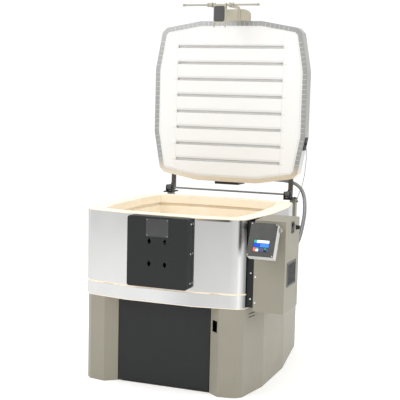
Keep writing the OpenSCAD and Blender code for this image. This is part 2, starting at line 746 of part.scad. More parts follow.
// Rocker with its lower half pressed in, so that it stands at off
module power_rocker() {
    color("#222425") translate([rocker_axis_x, switch_y, switch_z]) rotate([0, rocker_deg, 0]) {
        difference() {
            translate([0, switch_w / 2 - 4, 0]) rotate([90, 0, 0]) linear_extrude(switch_w - 8)
                polygon([[-8, -10], [-8, 10], [3, rocker_half - 1], [9, rocker_half - 1],
                    [6.4, 0], [9, 1 - rocker_half], [3, 1 - rocker_half]]);
        }
        translate([0, -switch_w / 2 + 2, 0]) rotate([-90, 0, 0]) cylinder(r = 2, h = switch_w - 4);
    }
}
module fuse_holder() {
    color("#131415") translate([box_x + box_w, fuse_y, fuse_z]) rotate([0, 90, 0]) {
        translate([0, 0, -20]) cylinder(r = fuse_r - 0.2, h = 21);
        cylinder(r = fuse_r + 3, h = 4);
        translate([0, 0, 4 - eps]) cylinder(r = fuse_r, h = 13);
        for (a = [0 : 45 : 315]) rotate([0, 0, a]) translate([fuse_r - 0.6, -0.9, 8]) cube([1.6, 1.8, 9]);
    }
}
relay_side = 0.237 * box_w;
relay_pitch = (box_w - 2 * box_t - relay_side - 7) / 2;
relay_w = relay_pitch - 8;
relay_h = 0.144 * box_h;
relay_d = 0.153 * box_d;
relay_shelf = 0.28 * box_d;
relay_low = box_low + 0.144 * box_h;
relay_panel_w = box_w - 2 * box_t - relay_side - 4;
module relay_panel() {
    color("#c3c5c4") translate([box_x + box_t + relay_side, box_back - box_t - 2, relay_low])
        cube([relay_panel_w, 2, 0.36 * box_h]);
    color("#c3c5c4") translate([box_x + box_t + relay_side, box_back - box_t - relay_shelf, relay_low - 2])
        cube([relay_panel_w, relay_shelf, 2]);
}
module power_relays() {
    color("#20303a") for (i = [0, 1])
        translate([box_x + box_t + relay_side + 2 + i * relay_pitch, box_back - box_t - 2 - relay_d,
                   relay_low + relay_h / 6]) {
            cube([relay_w, relay_d, relay_h]);
            translate([relay_w / 7, -6, relay_h / 7]) cube([relay_w * 5 / 7, 6 + eps, relay_h * 5 / 7]);
        }
}

// Control head: its own frame has the pivot at the origin, the face leaning back by head_lean
pivot_back = 12;
pivot_low = 16;
head_x = box_x + 1.7;
head_top_y = -box_y - head_out;
head_top_z = rim_z - head_drop;
// Pivot: down the face by pivot_low and back from it by the housing's depth less pivot_back
pivot_y = head_top_y - pivot_low * sin(head_lean) + (head_d - pivot_back) * cos(head_lean);
pivot_z = head_top_z - pivot_low * cos(head_lean) - (head_d - pivot_back) * sin(head_lean);
face_t = 3;
ear_t = 3;
ear_gap = 0.3;
head_mid = head_x + face_w / 2;
thumb_r = 2.5;
// Places children in the head's frame: X right, Z up the face, Y away from the viewer
module in_head() {
    translate([head_mid, head_top_y, head_top_z]) rotate([-head_lean, 0, 0]) children();
}
module head_housing() {
    color("#c4c4c2") in_head() difference() {
        translate([-face_w / 2 + 1, face_t, -face_h + 1]) cube([face_w - 2, head_d - face_t, face_h - 2]);
        translate([-face_w / 2 + 3, face_t - 1, -face_h + 3]) cube([face_w - 6, head_d - face_t - 1, face_h - 6]);
        translate([-face_w / 2, head_d - pivot_back, -pivot_low]) rotate([0, 90, 0])
            cylinder(r = thumb_r + 0.01, h = face_w);
    }
}
screen_z = -face_h + 21 + screen_h / 2;
module face_plate() {
    color("#17191b") in_head() difference() {
        upright(0, face_t) translate([0, -face_h / 2]) rounded(face_w, face_h, 4);
        translate([-screen_w / 2, -1, screen_z - screen_h / 2]) cube([screen_w, face_t + 2, screen_h]);
    }
}
module touch_screen() {
    color("#2b6fd0") in_head() translate([-screen_w / 2 + 0.2, 0.6, screen_z - screen_h / 2 + 0.2])
        cube([screen_w - 0.4, face_t + 4, screen_h - 0.4]);
}
module face_screws() {
    color("#d0d1d2") in_head() for (x = [-1, 1], z = [-5, -face_h + 5])
        translate([x * (face_w / 2 - 5), 0, z]) rotate([90, 0, 0]) cylinder(r1 = 3, r2 = 2, h = 1.3);
}
// Two ears on the box carry the head between them
module head_bracket() {
    color("#b5b0a0") difference() {
        union() {
            for (x = [head_x + 1 - ear_gap - ear_t, head_x + face_w - 1 + ear_gap])
                sideways(x, ear_t) {
                    translate([pivot_y, pivot_z]) circle(11);
                    polygon([[pivot_y, pivot_z - 11], [-box_y, pivot_z - 26],
                        [-box_y, pivot_z + 8], [pivot_y, pivot_z + 11]]);
                }
            translate([head_x + 1 - ear_gap - ear_t, -box_y - ear_t, pivot_z - 26])
                cube([face_w - 2 + 2 * ear_gap + 2 * ear_t, ear_t, 34]);
        }
        translate([head_x - 10, pivot_y, pivot_z]) rotate([0, 90, 0]) cylinder(r = thumb_r + run_gap, h = face_w + 20);
    }
}
module thumb_screws() {
    color("#3a3c3d") translate([0, pivot_y, pivot_z]) for (s = [0, 1])
        translate([s == 0 ? head_x + 1 - ear_gap - ear_t - 0.3 : head_x + face_w - 1 + ear_gap + ear_t + 0.3, 0, 0])
            rotate([0, s == 0 ? -90 : 90, 0]) difference() {
                union() {
                    cylinder(r = 9, h = 6);
                    translate([0, 0, 6 - eps]) cylinder(r = 5, h = 3);
                    translate([0, 0, -ear_t - 8]) cylinder(r = thumb_r, h = ear_t + 8 + eps);
                }
                for (a = [0 : 45 : 315]) rotate([0, 0, a]) translate([9.6, 0, -1]) cylinder(r = 1.6, h = 8);
            }
}

// Hinge
cheek_in = hinge_x - arm_w / 2 - cheek_gap - cheek_t;
cheek_out = hinge_x + arm_w / 2 + cheek_gap;
boss_r = 15;
foot_t = 6;
foot_z = hinge_z - 27;
post_x = cheek_out + cheek_t + 13 - post_w;
post_wall = 2.5;
module hinge_post() {
    difference() {
        union() {
            translate([post_x, post_y, stand_h]) cube([post_w, post_d, foot_z - stand_h]);
            translate([post_x - 8, post_y - 8, stand_h]) cube([post_w + 8, post_d + 16, 5]);
            for (y = [post_y - 4, post_y + post_d + 4])
                translate([post_x + post_w / 2, y, stand_h + 5 - eps]) cylinder(r = 3.6, h = 3.4, $fn = 6);
        }
        translate([post_x + post_wall, post_y + post_wall, stand_h - 1])
            cube([post_w - 2 * post_wall, post_d - 2 * post_wall, foot_z - stand_h + 2]);
    }
}
// The right post also carries the stay's stud
stud_r = 4;
stud_z = foot_z - 14;
module hinge_post_right() {
    color("#aaa594") {
        hinge_post();
        translate([post_x + post_w - 1, post_y + post_d / 2, stud_z]) rotate([0, 90, 0]) {
            cylinder(r = stud_r, h = 11);
            translate([0, 0, 9]) cylinder(r = stud_r + 2, h = 2);
        }
    }
}
module hinge_post_left() { color("#aaa594") mirror([1, 0, 0]) hinge_post(); }
module hinge_brackets() {
    color("#2e3132") both_sides() difference() {
        union() {
            translate([cheek_in, hinge_y - boss_r - 1, foot_z])
                cube([post_x + post_w - cheek_in, post_y + post_d - hinge_y + boss_r + 1, foot_t]);
            for (x = [cheek_in, cheek_out]) sideways(x, cheek_t) {
                translate([hinge_y, hinge_z]) circle(boss_r);
                translate([hinge_y - boss_r, foot_z + foot_t / 2]) square([2 * boss_r, hinge_z - foot_z - foot_t / 2]);
            }
            for (s = [-1, 1]) translate([post_x + post_w / 2 + s * 7, post_y + post_d / 2, foot_z + foot_t - eps])
                cylinder(r = 5, h = 4, $fn = 6);
        }
        translate([0, hinge_y, hinge_z]) rotate([0, 90, 0]) cylinder(r = rod_r + run_gap, h = half_w);
    }
}
rod_half = cheek_out + cheek_t + 5;
// Everything on the lid is drawn closed, then swung open about the rod
module open_lid() {
    translate([0, hinge_y, hinge_z]) rotate([-lid_open, 0, 0]) translate([0, -hinge_y, -hinge_z]) children();
}
// Where a point of the closed lid lies when the lid is open
function opened(p) = [p[0],
    hinge_y + (p[1] - hinge_y) * cos(lid_open) + (p[2] - hinge_z) * sin(lid_open),
    hinge_z - (p[1] - hinge_y) * sin(lid_open) + (p[2] - hinge_z) * cos(lid_open)];
module hinge_rod() {
    color("#7d8082") translate([-rod_half, hinge_y, hinge_z]) rotate([0, 90, 0]) cylinder(r = rod_r, h = 2 * rod_half);
}
strap_z = lid_top + 0.3;
strap_bolt_ys = [for (s = [0.07, 0.352, 0.704]) strap_front_y + s * (half_w - strap_front_y)];
module lid_arms() {
    color("#33373a") open_lid() both_sides() difference() {
        sideways(hinge_x - arm_w / 2, arm_w) {
            translate([hinge_y, hinge_z]) circle(boss_r);
            polygon([[hinge_y - boss_r, hinge_z], [hinge_y + boss_r, hinge_z],
                [hinge_y + boss_r, strap_z + strap_t - 8], [hinge_y + boss_r - 8, strap_z + strap_t],
                [strap_front_y, strap_z + strap_t], [strap_front_y, strap_z],
                [hinge_y - boss_r - 10, strap_z], [hinge_y - boss_r, strap_z - 10]]);
        }
        translate([0, hinge_y, hinge_z]) rotate([0, 90, 0]) cylinder(r = rod_r + 0.01, h = half_w);
    }
}
module strap_bolts() {
    color("#9a9c9d") open_lid() both_sides() for (y = strap_bolt_ys)
        translate([hinge_x, y, strap_z + strap_t]) cylinder(r = 6.5, h = 5, $fn = 6);
}

// Lid
module lid_plan(d, z, h) {
    translate([0, 0, z]) linear_extrude(h) polygon(plan(lid_inset + d));
}
slant_len = plan_reach(lid_inset);
flat_slits = floor(plan_flat(lid_inset) / slit_pitch);
slant_slits = floor(slant_len / slit_pitch) - 1;
// The folded flange is slit into tabs along the straight sides and stays whole near the corners
module flange_slits() {
    for (k = [0 : 3]) rotate([0, 0, 90 * k]) {
        for (i = [-flat_slits : flat_slits])
            translate([lid_half - flange_w - 1, i * slit_pitch - slit_w / 2, lid_z - 1])
                cube([flange_w - band_t - 1, slit_w, 3]);
        for (m = [-1, 1], i = [1 : slant_slits])
            translate([lid_half, m * plan_flat(lid_inset), lid_z - 1]) rotate([0, 0, m * side_angle])
                translate([-flange_w - 1, m * i * slit_pitch - slit_w / 2, 0])
                    cube([flange_w - band_t - 1, slit_w, 3]);
    }
}
module lid_band() {
    color("#d5d5d3") open_lid() difference() {
        union() {
            translate([0, 0, lid_z]) ring(lid_inset, lid_inset + band_t, lid_t);
            translate([0, 0, lid_z]) ring(lid_inset + band_t / 2, lid_inset + flange_w, band_t);
            translate([0, 0, lid_top - band_t]) ring(lid_inset + band_t / 2, lid_inset + flange_w, band_t);
        }
        flange_slits();
    }
}
module lid_top_panel() {
    color("#cfcfcd") open_lid() lid_plan(band_t, lid_top - 2 * band_t, band_t);
}
lid_row_ys = [for (i = [0 : lid_rows - 1]) lid_row_shift + (i - (lid_rows - 1) / 2) * lid_row_pitch];
module lid_slab() {
    color("#f6f3ea") open_lid() difference() {
        union() {
            lid_plan(band_t, lid_z + band_t, lid_t - 3 * band_t);
            lid_plan(plug_in, rim_z + seat_gap, lid_z + band_t - rim_z);
        }
        for (y = lid_row_ys)
            translate([-lid_row_half, y - groove_w / 2, rim_z - 1]) cube([2 * lid_row_half, groove_w, groove_w + 1.3]);
        // The slab is made of three boards side by side
        for (s = [-1, 1]) translate([s * board_seam_x - 0.6, -plan_near(0), rim_z - 1])
            cube([1.2, 2 * plan_near(0), 1 + seat_gap + 1.2]);
        for (s = [-1, 1], y = lid_row_ys) translate([s * button_x, y, rim_z - 1])
            cylinder(r = button_r + 0.1, h = button_l + 2);
    }
}
board_seam_x = lid_row_half + 3;
button_x = lid_row_half + 14;
button_r = 4;
button_l = 34;
// Ceramic ends of the lid's rows, with a bore for the element's tail
module lid_buttons() {
    color("#f3efe6") open_lid() for (s = [-1, 1], y = lid_row_ys)
        translate([s * button_x, y, rim_z + seat_gap]) difference() {
            union() {
                cylinder(r = button_r, h = button_l);
                translate([0, 0, -3.1]) cylinder(r1 = 5.5, r2 = 7, h = 3);
                translate([0, 0, -0.2]) cylinder(r = button_r, h = 1);
            }
            translate([0, 0, -4]) cylinder(r = 1.6, h = button_l + 5);
        }
}
lid_coil_z = rim_z + seat_gap + coil_r + 3;
module lid_elements() {
    color("#9c978c") open_lid() for (y = lid_row_ys) {
        // With the lid open the coil rests on the groove's lower wall
        translate([-lid_row_half + 3, y + coil_drop, lid_coil_z]) rotate([0, 90, 0])
            cylinder(r = coil_r, h = 2 * lid_row_half - 6);
    }
}
term_half = 67;
term_out = 14;
term_over = 48;
term_up = 40;
term_t = 1.5;
module lid_terminal_cover() {
    color("#232627") open_lid() difference() {
        translate([-term_half, lid_half - term_over, lid_z + 2])
            cube([2 * term_half, term_over + term_out, lid_t + term_up]);
        translate([-term_half + term_t, lid_half - term_over + term_t, lid_z + 2 + term_t])
            cube([2 * term_half - 2 * term_t, term_over + term_out - 2 * term_t, lid_t + term_up - 2 * term_t]);
        translate([-term_half - 1, lid_half - term_over - 1, lid_z])
            cube([2 * term_half + 2, term_over + 1.2, lid_t + 0.2]);
        translate([term_half - 10, lid_cond_y, lid_cond_z]) rotate([0, 90, 0])
            cylinder(r = conduit_r + 1, h = 20);
    }
}

// Handle: base on the lid's front edge, two arms, the bar and a hanging channel
module handle_base() {
    color("#b0ab9b") open_lid() difference() {
        translate([0, -lid_half - base_out / 2 - 0.1, lid_z + 2.5]) linear_extrude(base_h) difference() {
            union() {
                square([2 * base_half, base_out - 40], center = true);
                translate([0, base_out / 4]) square([2 * base_half, base_out / 2], center = true);
                translate([0, -base_out / 2 + 15]) square([2 * base_half - 60, 30], center = true);
                for (s = [-1, 1]) translate([s * (base_half - 30), -base_out / 2 + 30]) circle(30);
            }
        }
        translate([0, -lid_half - base_out / 2 + 2.4, lid_z + 5]) linear_extrude(base_h - 5) {
            square([2 * base_half - 5, base_out - 45], center = true);
            translate([0, base_out / 4]) square([2 * base_half - 5, base_out / 2 + 5], center = true);
            translate([0, -base_out / 2 + 15]) square([2 * base_half - 65, 25], center = true);
        }
    }
}
bar_y = -lid_half - bar_out;
bar_z = lid_z - bar_down;
arm_clear = cover_d + lid_inset + 4.2;
module handle_arms() {
    color("#a8a392") open_lid() both_sides() difference() {
        sideways(arm_half, arm_t) {
            translate([bar_y, bar_z]) circle(arm_end_r);
            polygon([
                [-lid_half - 10, lid_z + 2.4], [-lid_half - 10, lid_z - 3.5],
                [-lid_half - arm_clear + 8, lid_z - 3.5], [-lid_half - arm_clear, lid_z - 12],
                [bar_y + arm_end_r, bar_z], [bar_y - arm_end_r, bar_z],
                [-lid_half - bar_out - 3, lid_z - 12], [-lid_half - base_out, lid_z + 2.4]]);
        }
        translate([arm_half - 1, bar_y, bar_z]) rotate([0, 90, 0]) cylinder(r = bar_r + 0.01, h = arm_t + 2);
    }
}
cap_l = 12;
module handle_bar() {
    color("#a3a196") open_lid() translate([0, bar_y, bar_z]) rotate([0, 90, 0]) {
        translate([0, 0, -bar_half]) cylinder(r = bar_r, h = 2 * bar_half);
        for (s = [-1, 1]) translate([0, 0, s * (bar_half - cap_l / 2) - cap_l / 2]) cylinder(r = bar_r + 2, h = cap_l);
    }
}
collar_l = 19;
module handle_collars() {
    color("#9b978a") open_lid() both_sides()
        translate([arm_half + arm_t, bar_y, bar_z]) rotate([0, 90, 0]) difference() {
            union() {
                cylinder(r = arm_end_r - 1, h = collar_l / 3);
                translate([0, 0, collar_l / 3 - eps]) cylinder(r = arm_end_r - 3, h = collar_l / 3 + 2 * eps);
                translate([0, 0, collar_l * 2 / 3]) cylinder(r = arm_end_r - 1, h = collar_l / 3);
            }
            translate([0, 0, -1]) cylinder(r = bar_r + 0.01, h = collar_l + 2);
        }
}
// The channel hangs plumb from the bar: its place is the bar's place with the lid open
bar_open_y = opened([0, bar_y, bar_z])[1];
bar_open_z = opened([0, bar_y, bar_z])[2];
hasp_t = 2.5;
hasp_front = 18;
hasp_back = 11;
leg_l = 15;
leg_w = 12;
module hanging_channel() {
    color("#a9a493") translate([0, bar_open_y, bar_open_z]) difference() {
        union() {
            upright(-hasp_front, hasp_t) translate([0, -hasp_len / 2 + 4])
                square([2 * hasp_half, hasp_len - 8], center = true);
            both_sides() sideways(hasp_half - hasp_t, hasp_t) {
                circle(hasp_back);
                polygon([[-hasp_front, 0], [hasp_back, 0], [hasp_back, -hasp_len + 20],
                    [-hasp_front + leg_w, -hasp_len - leg_l], [-hasp_front, -hasp_len - leg_l]]);
            }
        }
        translate([-hasp_half - 1, 0, 0]) rotate([0, 90, 0]) cylinder(r = bar_r + run_gap, h = 2 * hasp_half + 2);
    }
}
channel_label_w = 58;
channel_label_h = 79;
module channel_plate() {
    color("#1b1c1d") translate([0, bar_open_y, bar_open_z]) upright(-hasp_front - 1, 1)
        translate([0, -7 - channel_label_h / 2]) difference() {
            square([channel_label_w, channel_label_h], center = true);
            for (x = [-1, 1], z = [-1, 1]) translate([x * channel_label_w / 2, z * channel_label_h / 2])
                rotate([0, 0, 45]) square([9, 9], center = true);
        }
}

// Conduit from the lid's terminal cover to the control box, at its place with the lid open
lid_cond_y = lid_half - 18.5;
lid_cond_z = lid_top + 21;
cond_start = opened([term_half, lid_cond_y, lid_cond_z]);
// A point near the lid's back corner, counted in hundredths of the kiln's width
function by_hinge(a, b, c) = [half_w, hinge_y, rim_z] + [a, b, c] * kiln_w / 100;
nut_l = 20;
cond_points = concat(
    [cond_start + [nut_l, 0, 0], cond_start + [nut_l + 20, 0, 0]],
    [for (p = [[-26.97, 8.14, 11.16], [-15.46, 8.25, 10.93], [-9.475, 8.14, 9.77], [-4.87, 7.33, 6.78],
               [-2.107, 5.49, 2.176], [-0.38, 1.577, -2.66], [1.347, -4.87, -7.03], [3.65, -16.04, -10.95],
               [6.41, -29.85, -14.17], [8.945, -43.67, -16.47], [10.557, -55.18, -18.09]])
        by_hinge(p[0], p[1], p[2])],
    [[cond_x - nut_l / 20, cond_y + 3 * nut_l, cond_z + nut_l / 3]],
    [[cond_x, cond_y + nut_l + 20, cond_z], [cond_x, cond_y + nut_l, cond_z]]);
// The curve keeps its first and last stretches straight
function hose_curve(p, steps) = let (n = len(p)) concat([p[0]],
    [for (i = [1 : n - 3], s = [0 : steps - 1])
        blend4(p[i - 1], p[i], p[i + 1], p[i + 2], s / steps)],
    [p[n - 2], p[n - 1]]);
cond_dense = hose_curve(cond_points, 10);
function lengths(p, i = 0, s = 0, out = []) = i >= len(p) ? out
    : lengths(p, i + 1, s + (i + 1 < len(p) ? norm(p[i + 1] - p[i]) : 0), concat(out, [s]));
cond_at = lengths(cond_dense);
cond_long = cond_at[len(cond_at) - 1];
cond_tables = [for (k = [0 : 2]) [for (i = [0 : len(cond_at) - 1]) [cond_at[i], cond_dense[i][k]]]];
function cond_point(s) = [for (k = [0 : 2]) lookup(s, cond_tables[k])];
// Ribs of even pitch between two plain ends as long as the conduit is thick
rib_first = 2 * conduit_r;
rib_count = floor((cond_long - 2 * rib_first) / rib_pitch);
rib_step = (cond_long - 2 * rib_first) / rib_count / 2;
hose_sides = 8;
outer_s = concat([0], [for (i = [0 : 2 * rib_count]) rib_first + i * rib_step], [cond_long]);
outer_r = concat([conduit_r - rib_h], [for (i = [0 : 2 * rib_count]) i % 2 == 0 ? conduit_r - rib_h : conduit_r],
                 [conduit_r - rib_h]);
inner_n = ceil(cond_long / 17);
inner_s = [for (i = [0 : inner_n]) i * cond_long / inner_n];
module lid_conduit() {
    outer_p = [for (s = outer_s) cond_point(s)];
    inner_p = [for (s = inner_s) cond_point(s)];
    m = len(outer_p);
    n = len(inner_p);
    k0 = hose_sides;
    last = (m - 1) * k0;
    low = m * k0;
    low_last = low + (n - 1) * k0;
    color("#9fa3a5") polyhedron(
        points = concat(swept(outer_p, outer_r, k0), swept(inner_p, [for (s = inner_s) conduit_bore_r], k0)),
        faces = concat(
            [for (i = [0 : m - 2], k = [0 : k0 - 1], t = [0, 1]) let (a = i * k0 + k, b = i * k0 + (k + 1) % k0)
                t == 0 ? [a, a + k0, b + k0] : [a, b + k0, b]],
            [for (i = [0 : n - 2], k = [0 : k0 - 1], t = [0, 1])
                let (a = low + i * k0 + k, b = low + i * k0 + (k + 1) % k0)
                t == 0 ? [a, b + k0, a + k0] : [a, b, b + k0]],
            [for (k = [0 : k0 - 1], t = [0, 1]) let (q = (k + 1) % k0)
                t == 0 ? [k, q, low + q] : [k, low + q, low + k]],
            [for (k = [0 : k0 - 1], t = [0, 1]) let (q = (k + 1) % k0)
                t == 0 ? [last + k, low_last + q, last + q] : [last + k, low_last + k, low_last + q]]));
}
module conduit_nut() {
    difference() {
        union() {
            cylinder(r = conduit_r + 0.8, h = nut_l);
            cylinder(r = conduit_r + 4, h = 7, $fn = 6);
            translate([0, 0, -6]) cylinder(r = conduit_r + 0.9, h = 6 + eps);
        }
        translate([0, 0, -7]) cylinder(r = conduit_bore_r, h = nut_l + 8);
    }
}
module conduit_lid_nut() {
    color("#b9bcbe") translate(cond_start) rotate([0, 90, 0]) conduit_nut();
}
module conduit_box_nut() {
    color("#b9bcbe") translate([cond_x, cond_y, cond_z]) rotate([-90, 0, 0]) conduit_nut();
}
// Stay between the lid's right edge and a stud on the right post
stay_u = 208;
stay_bracket_x = slant_at(lid_inset, stay_u);
stay_boss_r = 6;
module stay_bracket() {
    color("#1e2021") open_lid() translate([stay_bracket_x, stay_u, lid_z + lid_t / 2])
        rotate([0, 0, side_angle]) {
            translate([0.1, -35, -28]) cube([2.5, 70, 56]);
            translate([2.5, 0, 0]) rotate([0, 90, 0]) cylinder(r = stay_boss_r, h = 6);
        }
}
stay_boss = opened([stay_bracket_x + 5.5 * cos(side_angle), stay_u + 5.5 * sin(side_angle), lid_z + lid_t / 2]);
// The stay ends just under the slanting boss
stay_first = stay_boss - [0, 0, stay_boss_r / cos(side_angle) + stay_r * tan(side_angle) + 0.05];
stay_last = [post_x + post_w + 5.5, post_y + post_d / 2, stud_z + stud_r + 0.2];
stay_points = [stay_first, stay_first - [0, 0, 12], by_hinge(-0.38, 1.46, 27.27), by_hinge(-0.84, 1.58, 20.37),
    by_hinge(-1.65, 2.15, 14.03), by_hinge(-3.37, 3.77, 8.05), by_hinge(-5.33, 5.84, 4.02),
    stay_last + [0, 0, 10], stay_last];
module stay_cable() {
    route = hose_curve(stay_points, 4);
    color("#6f7274") sweep(route, [for (p = route) stay_r], 8);
}

stand_left_side();
stand_right_side();
stand_back();
stand_deck();
stand_shelf();
storage_door();
door_hinge_pins();
floor_slab();
floor_band();
bricks_lower();
bricks_middle();
bricks_upper();
wall_jacket();
side_elements();
element_bushings();
terminal_cover();
cover_screws();
cover_plate();
plate_rivets();
thermocouple();
mount_channel();
control_box();
box_front_panel();
box_screws();
vent_grille();
switch_bezel();
power_rocker();
fuse_holder();
power_relays();
relay_panel();
head_bracket();
head_housing();
face_plate();
touch_screen();
face_screws();
thumb_screws();
hinge_post_left();
hinge_post_right();
hinge_brackets();
hinge_rod();
lid_arms();
lid_band();
lid_top_panel();
lid_slab();
lid_elements();
lid_terminal_cover();
handle_base();
handle_arms();
handle_bar();
handle_collars();
hanging_channel();
channel_plate();
lid_conduit();
conduit_box_nut();
conduit_lid_nut();
stay_cable();
stay_bracket();
strap_bolts();
band_clamps();
lid_buttons();
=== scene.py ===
"""Looks of a top-loading kiln with its lid open on a storage stand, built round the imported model."""
import json
import math
import random

import bmesh
import bpy
from mathutils import Matrix, Vector


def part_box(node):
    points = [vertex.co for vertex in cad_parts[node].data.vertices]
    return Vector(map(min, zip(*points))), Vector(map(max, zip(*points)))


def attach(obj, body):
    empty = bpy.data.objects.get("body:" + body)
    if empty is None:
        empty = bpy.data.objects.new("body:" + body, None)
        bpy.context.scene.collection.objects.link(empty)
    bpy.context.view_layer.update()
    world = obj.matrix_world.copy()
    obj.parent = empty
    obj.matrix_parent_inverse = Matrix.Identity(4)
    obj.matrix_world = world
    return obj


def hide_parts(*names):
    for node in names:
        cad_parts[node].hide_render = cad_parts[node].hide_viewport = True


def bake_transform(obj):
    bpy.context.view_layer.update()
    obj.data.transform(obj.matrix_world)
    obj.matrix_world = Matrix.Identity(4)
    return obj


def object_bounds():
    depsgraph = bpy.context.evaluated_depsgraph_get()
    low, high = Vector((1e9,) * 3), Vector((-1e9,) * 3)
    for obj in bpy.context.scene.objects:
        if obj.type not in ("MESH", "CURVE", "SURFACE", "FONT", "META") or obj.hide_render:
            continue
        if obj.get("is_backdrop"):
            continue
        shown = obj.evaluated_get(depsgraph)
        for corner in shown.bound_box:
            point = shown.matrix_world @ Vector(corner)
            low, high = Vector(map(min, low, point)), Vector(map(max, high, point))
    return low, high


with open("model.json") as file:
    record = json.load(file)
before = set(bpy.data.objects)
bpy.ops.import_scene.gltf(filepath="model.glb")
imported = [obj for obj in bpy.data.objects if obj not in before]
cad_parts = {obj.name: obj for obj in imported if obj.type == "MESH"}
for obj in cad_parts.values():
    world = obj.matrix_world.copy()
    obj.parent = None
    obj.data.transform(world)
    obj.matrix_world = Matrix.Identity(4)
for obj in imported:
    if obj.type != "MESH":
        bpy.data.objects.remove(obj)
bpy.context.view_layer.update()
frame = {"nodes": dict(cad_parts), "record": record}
random.seed(7)

# ---------------------------------------------------------------- camera
YAW, PITCH, ROLL = 0.368, 0.115, 0.023
CAMERA_AT = Vector((1.742, -4.450, 1.402))
FOCAL_PX, FRAME_PX, SENSOR = 967.0, 400.0, 36.0


def make_camera():
    forward = Vector((-math.sin(YAW) * math.cos(PITCH), math.cos(YAW) * math.cos(PITCH), -math.sin(PITCH)))
    right = Vector((math.cos(YAW), math.sin(YAW), 0))
    up = right.cross(forward)
    right2 = math.cos(ROLL) * right + math.sin(ROLL) * up
    up2 = -math.sin(ROLL) * right + math.cos(ROLL) * up
    data = bpy.data.cameras.new("camera")
    data.lens = FOCAL_PX / FRAME_PX * SENSOR
    data.sensor_width = SENSOR
    data.clip_end = 100
    cam = bpy.data.objects.new("camera", data)
    turn = Matrix((right2, up2, -forward)).transposed().to_4x4()
    cam.matrix_world = Matrix.Translation(CAMERA_AT) @ turn
    bpy.context.scene.collection.objects.link(cam)
    bpy.context.scene.camera = cam


make_camera()
bpy.context.scene.view_settings.view_transform = "Standard"


